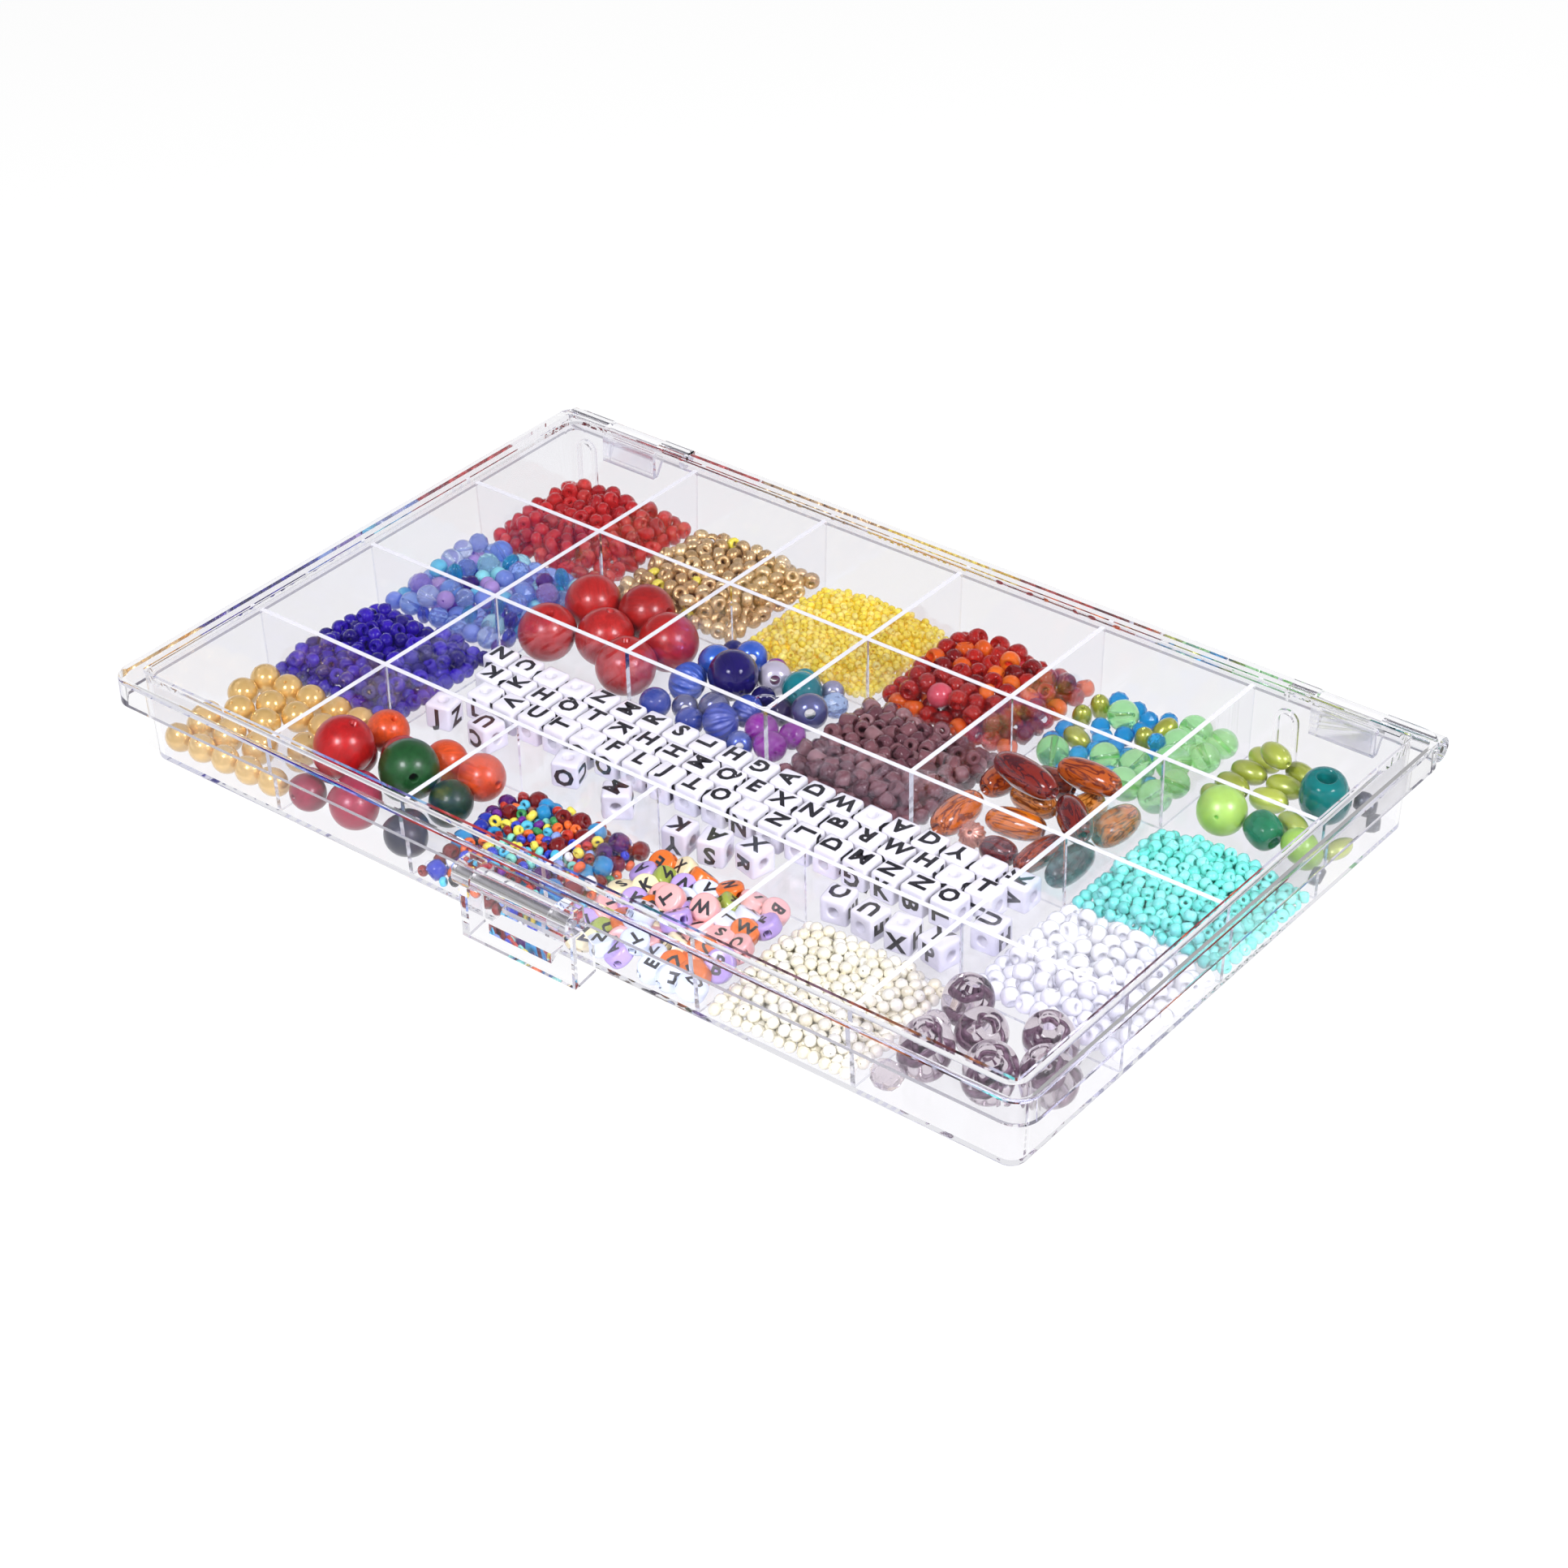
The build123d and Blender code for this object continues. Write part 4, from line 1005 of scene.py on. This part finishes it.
class BEADS_OT_wood_balls(Piece):
    """Red and many-coloured painted wooden balls"""
    bl_idname = "beads.wood_balls"
    bl_label = "Wooden balls"

    def make(self, box, beads, stage):
        paint, bore = painted_wood(), dark_bore()
        self.balls("fill_red_wood_balls", self.red_ball, paint, bore, 31)
        self.balls("fill_painted_wood_balls", self.painted_ball, paint, bore, 32)

    def red_ball(self, pick, number, middle):
        """Paint and turn of one of the red balls."""
        return palette(pick, RED_PAINTS), toward(RED_BORES[number % len(RED_BORES)])

    def painted_ball(self, pick, number, middle):
        """Paint and turn of one of the many-coloured balls."""
        x, y = middle[0] / MM, middle[1] / MM
        tint = min(PAINTED_BALLS, key=lambda ball: math.hypot(ball[0] - x, ball[1] - y))[2]
        any_bore = (0.3, pick.uniform(-1, 1), pick.uniform(-0.3, 0.9))
        return linear(tint), toward(PAINTED_BORES.get(tint, any_bore))

    def balls(self, node, look, paint, bore, seed):
        """Set a ball in the place of each solid of a node."""
        pick = random.Random(seed)
        places, sizes, turns, tints = [], [], [], []
        for number, points in enumerate(node_islands(node)):
            middle, _, _, size = island_frame(points)
            tint, turn = look(pick, number, middle)
            places.append(middle)
            sizes.append((size,) * 3)
            turns.append(turn)
            tints.append(tint)
        piece = spread(node, [round_bead("wood_ball", 0.085, 40, 22)], paint, places, turns, sizes,
                       [0] * len(places), tints)
        self.line_bore(piece, places, sizes, bore)
        stand_for(piece, node)

    def line_bore(self, piece, places, sizes, bore):
        """Faces well inside a ball are its bore, and take the bore finish: bare wood darkened as painted
        shade.
        """
        mesh = piece.data
        mesh.materials.append(bore)
        middles, radii = np.array(places), np.array(sizes)[:, 0] / 2
        for polygon in mesh.polygons:
            gaps = np.linalg.norm(middles - np.array(polygon.center), axis=1)
            if gaps.min() < radii[int(gaps.argmin())] * 0.94:
                polygon.material_index = 1


class BEADS_OT_pearls(Piece):
    """Gold pearls, and the olive rice pearls with their odd companions"""
    bl_idname = "beads.pearls"
    bl_label = "Pearls"

    def make(self, box, beads, stage):
        pick = random.Random(41)
        rows = []
        for points in node_islands("fill_gold_pearls"):
            middle, _, _, height = island_frame(points)
            rows.append([middle, toward((pick.gauss(0, 0.5), pick.gauss(0, 0.5), 1)), (height,) * 3])
        for row in rows:
            row.append(palette(pick, {"#e6bf74": 3, "#dab264": 1}))
        stand_for(spread_rows("fill_gold_pearls", round_bead("gold_pearl", 0.06, 28, 14),
                              pearl_coat("gold_pearl", 0.42, 0.15), rows), "fill_gold_pearls")
        lime = pearl_coat("lime_pearl", 0.12, 0.3)
        jade = tinted_glass("lime_jade", 0.2, 0.3)
        teal = tinted_glass("teal_glass", 0.45)
        metal = bronze_lustre()
        olive = oval_shape("rice", 0.1, 0.63)
        ball = round_bead("jade_ball", 0.05, 28, 14)
        groups = {"rice": [], "jade": [], "teal": [], "metal": []}
        for points in node_islands("fill_olive_pearls"):
            middle, heading, length, height = island_frame(points)
            # Long ones are the rice pearls, and their round companions are told apart by height.
            if length > 1.2 * height:
                kind, tint = "rice", palette(pick, {"#a8b444": 3, "#b6c250": 2, "#95a036": 1})
                size, turn = (length,) * 3, (0, 0, heading)
            elif height > 12.2 * MM:
                kind, tint, size, turn = "jade", linear("#b5d95f"), (height,) * 3, toward((0.3, -0.9, 0.3))
            elif height > 11 * MM:
                kind, tint, size, turn = "teal", linear("#0e8a86"), (height,) * 3, toward((0.15, -0.1, 1))
            elif height > 8.8 * MM:
                kind, tint, size, turn = "teal", linear("#1f8a56"), (height,) * 3, any_turn(pick)
            elif height > 6 * MM:
                kind, tint, size, turn = "jade", linear("#a9d052"), (height,) * 3, any_turn(pick)
            else:
                kind, tint, size, turn = "metal", linear("#5c5f68"), (height,) * 3, any_turn(pick)
            groups[kind].append((middle, turn, size, tint))
        looks = {"rice": (olive, lime), "jade": (ball, jade),
                 "teal": (round_bead("barrel", 0.09, 28, 14, 0.98, 2.2), teal),
                 "metal": (ring_bead("hematite", 0.14, 0.85, 20), metal)}
        pieces = [spread_rows(f"olive_{kind}", *look, groups[kind]) for kind, look in looks.items()]
        stand_for(join("fill_olive_pearls", pieces), "fill_olive_pearls")


# Kind and colour of each blue glass bead, by its place in mm from the compartment's middle.
BLUE_GLASS = (
    (-16.5, 7.0, "pearl", "#2c62c8"), (-17.7, 16.3, "clear", "#141a70"), (-13.5, 9.0, "crystal", "#c4dcfa"),
    (-10.6, 13.0, "pearl", "#2a5cc4"), (-14.0, 4.7, "foil", "#171060"), (-6.0, 1.8, "clear", "#1c1068"),
    (-7.0, 14.8, "clear", "#8e0c9c"), (0.0, 14.6, "foil", "#0e1030"), (6.0, 13.0, "clear", "#0b9098"),
    (-1.0, 7.0, "pearl", "#c8c2d2"), (-4.5, 3.0, "foil", "#121a10"), (10.0, 14.5, "clear", "#8c1696"),
    (13.5, 16.0, "pearl", "#8f93ac"), (-16.2, -4.0, "carved", "#3256b4"), (-15.8, -13.0, "clear", "#2c48a8"),
    (-9.5, -8.0, "pearl", "#50557f"), (9.0, -0.8, "clear", "#0e1250"), (16.0, 11.0, "crystal", "#b9d2f6"),
    (2.3, -9.0, "carved", "#2640a0"), (16.0, -9.5, "clear", "#a02aa8"), (-3.0, -15.0, "clear", "#3048a4"),
    (9.0, -15.0, "pearl", "#3a52a4"), (14.5, 3.0, "pearl", "#4a5484"), (3.5, 2.0, "clear", "#1a1060"),
    (-9.0, -2.0, "clear", "#1e2c84"))


class BEADS_OT_blue_glass(Piece):
    """Blue, purple and foil-lined glass beads"""
    bl_idname = "beads.blue_glass"
    bl_label = "Blue glass mix"

    def make(self, box, beads, stage):
        pick = random.Random(51)
        finishes = {"pearl": pearl_coat("blue_pearl", 0.3, 0.2), "clear": tinted_glass("deep_glass", 0.45),
                    "foil": foil_glass(), "carved": tinted_glass("frosted_glass", 0.2, 0.4),
                    "crystal": tinted_glass("pale_crystal", 0.9)}
        shapes = {"pearl": round_bead("blue_ball", 0.12, 26, 13, 0.86, 1.25),
                  "clear": round_bead("clear_ball", 0.06), "foil": round_bead("foil_ball", 0.07, 32, 16),
                  "carved": melon_bead("melon"), "crystal": facet_bead("crystal_ball")}
        middle_x, middle_y = compartment_middle(2, 2)
        groups = {kind: [] for kind in finishes}
        for points in node_islands("fill_blue_glass"):
            middle, _, _, height = island_frame(points)
            x, y = (middle[0] - middle_x) / MM, (middle[1] - middle_y) / MM
            _, _, kind, tint = min(BLUE_GLASS, key=lambda bead: math.hypot(bead[0] - x, bead[1] - y))
            turn = toward((0.6, -0.7, 0.4)) if kind == "pearl" else any_turn(pick)
            groups[kind].append((middle, turn, (height,) * 3, linear(tint)))
        pieces = [spread_rows(f"glass_{kind}", shapes[kind], finishes[kind], rows)
                  for kind, rows in groups.items() if rows]
        stand_for(join("fill_blue_glass", pieces), "fill_blue_glass")


class BEADS_OT_wood_ovals(Piece):
    """Swirled ovals and tubes, with one ribbed copper bead"""
    bl_idname = "beads.wood_ovals"
    bl_label = "Swirled ovals"

    def make(self, box, beads, stage):
        pick = random.Random(61)
        tints = ("#c8640f", "#b84e08", "#7c1c0a", "#a03c0e", "#c4742a", "#d06e08", "#640e08",
                 "#b4520f", "#cc8434", "#943608", "#701808", "#c46c1c", "#463630")
        width = 0.62                    # of the oval shape, one unit long
        ovals, melons = [], []
        for points in node_islands("fill_wood_grain_ovals"):
            middle, heading, length, height = island_frame(points)
            is_round = length < 1.1 * height
            if is_round:
                melons.append((middle, toward((0.2, -0.6, 0.7)), (height,) * 3, linear("#c98f7c")))
            else:
                across = height / width
                ovals.append((middle, (pick.uniform(0, 6), 0, heading), (length, across, across),
                              linear(tints[len(ovals) % len(tints)])))
        pieces = [spread_rows("ovals", oval_shape("resin_oval", 0.11, width, 28, 16, 1.5),
                              swirled_resin(), ovals),
                  spread_rows("melons", melon_bead("copper_melon"), bronze_lustre(), melons)]
        stand_for(join("fill_wood_grain_ovals", pieces), "fill_wood_grain_ovals")


def print_letters(name, faces, height, ink, pick):
    """Stamp a random capital on each (middle, outward direction, spin) face."""
    shapes = letter_shapes()
    count = len(faces)
    return spread(name, shapes, ink, [face[0] for face in faces],
                  [toward(outward, spin) for _, outward, spin in faces],
                  [(height, height, INK_DEPTH / LETTER_THICKNESS)] * count,
                  [pick.randrange(len(shapes)) for _ in range(count)], [(0, 0, 0, 1)] * count)


class BEADS_OT_letter_cubes(Piece):
    """White cubes with a letter on four faces and a bore through the other two"""
    bl_idname = "beads.letter_cubes"
    bl_label = "Letter cubes"

    def make(self, box, beads, stage):
        pick = random.Random(71)
        node = "fill_letter_cubes"
        cube = bored_block("cube", 0.5, 0.13, 0.2, "Z")
        places, turns, sizes, faces = [], [], [], []
        for points in node_islands(node):
            middle = (points.min(0) + points.max(0)) / 2
            size = np.ptp(points[:, 2])
            heading = Matrix.Rotation(cube_heading(points), 3, "Z")
            lay = pick.choices((Matrix.Identity(3), Matrix.Rotation(math.pi / 2, 3, "X"),
                                Matrix.Rotation(math.pi / 2, 3, "Y")), (2, 5, 4))[0]
            turn = heading @ lay
            places.append(middle)
            turns.append(tuple(turn.to_euler()))
            sizes.append((size,) * 3)
            roll = pick.randrange(4) * math.pi / 2
            for side in ((1, 0, 0), (-1, 0, 0), (0, 1, 0), (0, -1, 0)):
                outward = turn @ Vector(side)
                faces.append((Vector(middle) + outward * (size / 2), outward,
                              roll + pick.choice((0, 0, 0, math.pi / 2, math.pi))))
        count = len(places)
        body = spread("cubes_body", [cube], white_acrylic(), places, turns, sizes, [0] * count,
                      [linear("#eeecf1")] * count)
        letters = print_letters("cubes_letters", faces, 6.4 * MM, letter_ink(beads), pick)
        stand_for(join(node, [body, letters]), node)


class BEADS_OT_letter_discs(Piece):
    """Coloured round letter beads with a bore from side to side"""
    bl_idname = "beads.letter_discs"
    bl_label = "Letter discs"

    def make(self, box, beads, stage):
        pick = random.Random(81)
        node = "fill_letter_discs"
        low, high = (np.array(corner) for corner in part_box(node))
        count, width, thick = 50, 7.0 * MM, 0.56
        disc = bored_block("disc", 0.5, 0.12, 0.11, "X", thick, True)
        places = settle(low, high, 5.5 * MM, np.full(count, width * 0.41), 82, 0.4 * MM)
        colours = {"#f2b3ad": 5, "#e4701e": 5, "#b79edb": 3, "#f1e3b4": 2, "#dde6f5": 4, "#9bab45": 1}
        turns, faces = [], []
        for place in places:
            tilt = Vector((pick.gauss(0.1, 0.45), pick.gauss(-0.15, 0.45), 1)).normalized()
            spin = pick.uniform(0, 2 * math.pi)
            turn = tilt.to_track_quat("Z", "Y").to_matrix() @ Matrix.Rotation(spin, 3, "Z")
            turns.append(tuple(turn.to_euler()))
            for side in (1, -1):
                outward = turn @ Vector((0, 0, side))
                faces.append((Vector(place) + outward * (width * thick / 2), outward, pick.uniform(0, 6.28)))
        body = spread("discs_body", [disc], white_acrylic(), places, turns, [(width,) * 3] * count,
                      [0] * count, [palette(pick, colours) for _ in range(count)])
        letters = print_letters("discs_letters", faces, 4.4 * MM, letter_ink(beads), pick)
        stand_for(join(node, [body, letters]), node)


class BEADS_OT_lampwork(Piece):
    """Clear barrels over an amethyst core, and speckled crystal beads"""
    bl_idname = "beads.lampwork"
    bl_label = "Lampwork barrels"

    def make(self, box, beads, stage):
        pick = random.Random(91)
        node = "fill_lampwork_barrels"
        barrels, crystals = [], []
        for points in node_islands(node):
            middle, _, _, height = island_frame(points)
            (barrels if height > 10 * MM else crystals).append((middle, height))
        glass, white = flint_glass(), (1, 1, 1, 1)
        leans = [toward((pick.gauss(0, 0.35), pick.gauss(0, 0.35), 1)) for _ in barrels]
        count = len(barrels)
        places, sizes = [b[0] for b in barrels], [(b[1],) * 3 for b in barrels]
        shell = spread("barrel_glass", [round_bead("barrel_shell", 0.13, 36, 18, 1.0, 1.5)], glass,
                       places, leans, sizes, [0] * count, [white] * count)
        threads = [wound_thread(f"thread_{turns}", turns) for turns in (1.4, 1.8, 2.3)]
        core = spread("barrel_threads", threads, amethyst_threads(), places, leans, sizes,
                      [pick.randrange(len(threads)) for _ in barrels], [white] * count)
        crystal = spread_rows("crystal", facet_bead("crystal_facet"), glass,
                              [(middle, any_turn(pick), (size,) * 3, white)
                               for middle, size in crystals])
        stand_for(join(node, [shell, core, crystal]), node)


# The camera's place in metres, the way it looks, and the way to the right of its frame.
VIEW_FROM = (0.46564, -0.56628, 0.50304)
VIEW_ALONG = (-0.52059, 0.64041, -0.56468)
VIEW_RIGHT = (0.78332, 0.62137, -0.01746)
SOFTBOXES = {"softbox_front": (0.09, -0.70, 0.71), "softbox_right": (0.76, -0.02, 0.64)}
SOFTBOX_DISTANCE = 1.25
SOFTBOX_SIZE = 0.28
BOUNCES = 160                           # enough for light to cross all the walls and come back


class BEADS_OT_camera(Piece):
    """The camera: from the right front corner, looking down"""
    bl_idname = "beads.camera"
    bl_label = "Camera"

    def make(self, box, beads, stage):
        data = bpy.data.cameras.new("camera")
        data.lens, data.sensor_width, data.sensor_fit = 83.18, 36.0, "AUTO"
        camera = bpy.data.objects.new("camera", data)
        forward = Vector(VIEW_ALONG).normalized()
        right = Vector(VIEW_RIGHT)
        right = (right - right.dot(forward) * forward).normalized()
        up = right.cross(forward)
        turn = Matrix((right, up, -forward)).transposed()
        camera.matrix_world = Matrix.Translation(VIEW_FROM) @ turn.to_4x4()
        bpy.context.scene.collection.objects.link(camera)
        bpy.context.scene.camera = camera


class BEADS_OT_stage(Piece):
    """Floor, softboxes and the light of the room"""
    bl_idname = "beads.stage"
    bl_label = "Stage"

    def make(self, box, beads, stage):
        self.floor()
        for name, direction in SOFTBOXES.items():
            lamp = bpy.data.lights.new(name, "AREA")
            lamp.energy, lamp.shape, lamp.size = stage.lamp_power, "SQUARE", SOFTBOX_SIZE
            light = bpy.data.objects.new(name, lamp)
            light.matrix_world = (Matrix.Translation(Vector(direction) * SOFTBOX_DISTANCE)
                                  @ Vector(direction).to_track_quat("Z", "Y").to_matrix().to_4x4())
            bpy.context.scene.collection.objects.link(light)
        self.room(stage)
        scene = bpy.context.scene
        scene.view_settings.view_transform = "Standard"
        scene.cycles.max_bounces = BOUNCES
        scene.cycles.transmission_bounces = BOUNCES
        scene.cycles.glossy_bounces = BOUNCES
        scene.cycles.transparent_max_bounces = 64
        scene.cycles.use_denoising = True
        scene.cycles.sample_clamp_indirect = 6.0

    def floor(self):
        """A wide white sheet that stays white to the eye and keeps a soft shadow.

        Its mirror image is a little dimmer, and dimmer still past the box's front and right edges,
        so that the walls there show the beads behind them and not the sheet.
        """
        material, tree = new_material("white_paper_sheet")
        grain = noise(tree, 0.6 * MM, 2.0)
        tone = add_node(tree, "ShaderNodeMixRGB", {"Fac": grain.outputs["Fac"], "Color1": linear("#f6f6f6"),
                                                   "Color2": linear("#fafafa")})
        paper = add_node(tree, "ShaderNodeBsdfPrincipled", {"Base Color": tone.outputs[0], "Roughness": 0.9,
                                                            "Specular IOR Level": 0.0})
        path = add_node(tree, "ShaderNodeLightPath")
        through = add_node(tree, "ShaderNodeMapRange", {"Value": path.outputs["Is Transmission Ray"],
                                                        "To Min": 1.0, "To Max": 1.06})
        mirrored = add_node(tree, "ShaderNodeMath", {0: path.outputs["Is Glossy Ray"],
                                                     1: path.outputs["Is Transmission Ray"]},
                            operation="SUBTRACT", use_clamp=True)
        level = add_node(tree, "ShaderNodeMath", {0: mirrored.outputs[0], 1: -0.15, 2: through.outputs[0]},
                         operation="MULTIPLY_ADD")
        place = add_node(tree, "ShaderNodeTexCoord")
        spot = add_node(tree, "ShaderNodeSeparateXYZ", {"Vector": place.outputs["Object"]})
        front, right = (
            add_node(tree, "ShaderNodeMapRange", {"Value": spot.outputs[axis], "From Min": edge * MM,
                                                  "From Max": past * MM, "To Min": 0.0, "To Max": 0.6})
            for axis, edge, past in (("Y", -91, -97), ("X", 138, 144)))
        outside = add_node(tree, "ShaderNodeMath", {0: front.outputs[0], 1: right.outputs[0]},
                           operation="MAXIMUM")
        unseen = add_node(tree, "ShaderNodeMath", {0: 1.0, 1: path.outputs["Is Camera Ray"]},
                          operation="SUBTRACT")
        darker = add_node(tree, "ShaderNodeMath", {0: outside.outputs[0], 1: unseen.outputs[0]},
                          operation="MULTIPLY")
        level = add_node(tree, "ShaderNodeMath", {0: level.outputs[0], 1: darker.outputs[0]},
                         operation="SUBTRACT")
        level = add_node(tree, "ShaderNodeMath", {0: level.outputs[0], 1: self.caught(tree)},
                         operation="MAXIMUM")
        glow = add_node(tree, "ShaderNodeEmission", {"Color": (1, 1, 1, 1), "Strength": level.outputs[0]})
        solid = add_node(tree, "ShaderNodeMapRange", {"Value": path.outputs["Is Camera Ray"],
                                                      "To Min": 1.0, "To Max": 0.8})
        share = add_node(tree, "ShaderNodeMath", {0: self.seen(tree), 1: solid.outputs[0]},
                         operation="MULTIPLY")
        mixed = add_node(tree, "ShaderNodeMixShader", {"Fac": share.outputs[0], 1: paper.outputs[0],
                                                       2: glow.outputs[0]})
        finish_material(tree, mixed.outputs[0])
        mesh = bpy.data.meshes.new("floor")
        reach = 3.0
        mesh.from_pydata([(x * reach, y * reach, 0) for x, y in ((-1, -1), (1, -1), (1, 1), (-1, 1))], [],
                         [(0, 1, 2, 3)])
        mesh.materials.append(material)
        floor = bpy.data.objects.new("floor", mesh)
        floor.location.z = -0.1 * MM
        bpy.context.scene.collection.objects.link(floor)

    def caught(self, tree):
        """Light that has turned many times in the plastic gathers from all sides, so edges stay pale."""
        path = add_node(tree, "ShaderNodeLightPath")
        return add_node(tree, "ShaderNodeMapRange", {"Value": path.outputs["Ray Depth"], "From Min": 4.0,
                                                     "From Max": 9.0, "To Min": 0.0,
                                                     "To Max": 0.85}).outputs[0]

    def seen(self, tree):
        """1 for rays that show a surface to the eye, straight or by gloss or glass."""
        path = add_node(tree, "ShaderNodeLightPath")
        straight = add_node(tree, "ShaderNodeMath", {0: path.outputs["Is Camera Ray"],
                                                     1: path.outputs["Is Glossy Ray"]}, operation="ADD")
        return add_node(tree, "ShaderNodeMath", {0: straight.outputs[0],
                                                 1: path.outputs["Is Transmission Ray"]},
                        operation="ADD", use_clamp=True).outputs[0]

    def room(self, stage):
        """White at the horizon and below, and a darker ceiling that gives the plastic its edges.

        For light from inside the plastic, the ceiling is darkest at the back left, where the lid
        would mirror it to the front, and brighter beside that. The front right is dimmer too, so
        that its image in the front walls doesn't veil the beads.
        """
        world = bpy.data.worlds.new("room")
        world.use_nodes = True
        tree = world.node_tree
        tree.nodes.clear()
        path = add_node(tree, "ShaderNodeLightPath")
        place = add_node(tree, "ShaderNodeTexCoord")
        parts = add_node(tree, "ShaderNodeSeparateXYZ", {"Vector": place.outputs["Generated"]})
        ceiling = add_node(tree, "ShaderNodeMapRange", {"Value": parts.outputs["Z"], "From Min": 0.15,
                                                        "From Max": 0.45, "To Min": 1.0, "To Max": 0.07})
        back_left, front_right = (
            add_node(tree, "ShaderNodeVectorMath", {0: place.outputs["Generated"], 1: direction},
                     operation="DOT_PRODUCT")
            for direction in ((-0.52, 0.64, 0.565), (0.63, -0.776, 0.0)))
        beside = add_node(tree, "ShaderNodeMapRange", {"Value": back_left.outputs["Value"],
                                                       "From Min": 0.9, "From Max": 0.72,
                                                       "To Min": 0.08, "To Max": 0.3})
        beside = add_node(tree, "ShaderNodeMath", {0: beside.outputs[0],
                                                   1: path.outputs["Is Transmission Ray"]},
                          operation="MULTIPLY")
        level = add_node(tree, "ShaderNodeMath", {0: ceiling.outputs[0], 1: beside.outputs[0]},
                         operation="MAXIMUM")
        dim = add_node(tree, "ShaderNodeMapRange", {"Value": front_right.outputs["Value"],
                                                    "From Min": 0.15, "From Max": 0.6,
                                                    "To Min": 1.0, "To Max": 0.4})
        level = add_node(tree, "ShaderNodeMath", {0: level.outputs[0], 1: dim.outputs[0]},
                         operation="MULTIPLY")
        for least in (self.caught(tree), path.outputs["Is Camera Ray"]):
            level = add_node(tree, "ShaderNodeMath", {0: level.outputs[0], 1: least}, operation="MAXIMUM")
        tone = add_node(tree, "ShaderNodeMixRGB", {"Fac": level.outputs[0], "Color1": linear("#cfcbe6"),
                                                   "Color2": (1, 1, 1, 1)})
        shown = add_node(tree, "ShaderNodeBackground", {"Color": tone.outputs[0],
                                                        "Strength": level.outputs[0]})
        soft = add_node(tree, "ShaderNodeBackground", {"Color": (1, 1, 1, 1), "Strength": stage.fill})
        mixed = add_node(tree, "ShaderNodeMixShader", {"Fac": self.seen(tree), 1: soft.outputs[0],
                                                       2: shown.outputs[0]})
        add_node(tree, "ShaderNodeOutputWorld", {"Surface": mixed.outputs[0]})
        bpy.context.scene.world = world


OPERATORS = (BEADS_OT_camera, BEADS_OT_box, BEADS_OT_seed_heaps, BEADS_OT_glass_heaps, BEADS_OT_wood_balls,
             BEADS_OT_pearls, BEADS_OT_blue_glass, BEADS_OT_wood_ovals, BEADS_OT_letter_cubes,
             BEADS_OT_letter_discs, BEADS_OT_lampwork, BEADS_OT_stage)


class BEADS_PT_panel(bpy.types.Panel):
    """Settings and operators in the sidebar"""
    bl_idname = "BEADS_PT_panel"
    bl_label = "Bead organizer"
    bl_space_type = "VIEW_3D"
    bl_region_type = "UI"
    bl_category = "Beads"

    def draw(self, context):
        """List every setting, and then every operator."""
        for group in (context.scene.bead_box, context.scene.bead_beads, context.scene.bead_stage):
            for name in group.__annotations__:
                self.layout.prop(group, name)
        for operator in OPERATORS:
            self.layout.operator(operator.bl_idname)


GROUPS = {"bead_box": BoxSettings, "bead_beads": BeadSettings, "bead_stage": StageSettings}


def register():
    """Register the classes, and hang the settings on the scene."""
    for kind in (*GROUPS.values(), *OPERATORS, BEADS_PT_panel):
        bpy.utils.register_class(kind)
    for name, group in GROUPS.items():
        setattr(bpy.types.Scene, name, bpy.props.PointerProperty(type=group))


def unregister():
    """Undo what register did."""
    for name in GROUPS:
        delattr(bpy.types.Scene, name)
    for kind in (BEADS_PT_panel, *reversed(OPERATORS), *GROUPS.values()):
        bpy.utils.unregister_class(kind)


def main():
    """Make every piece in order."""
    register()
    for operator in OPERATORS:
        getattr(bpy.ops.beads, operator.bl_idname.split(".")[1])()


if __name__ == "__main__":
    main()
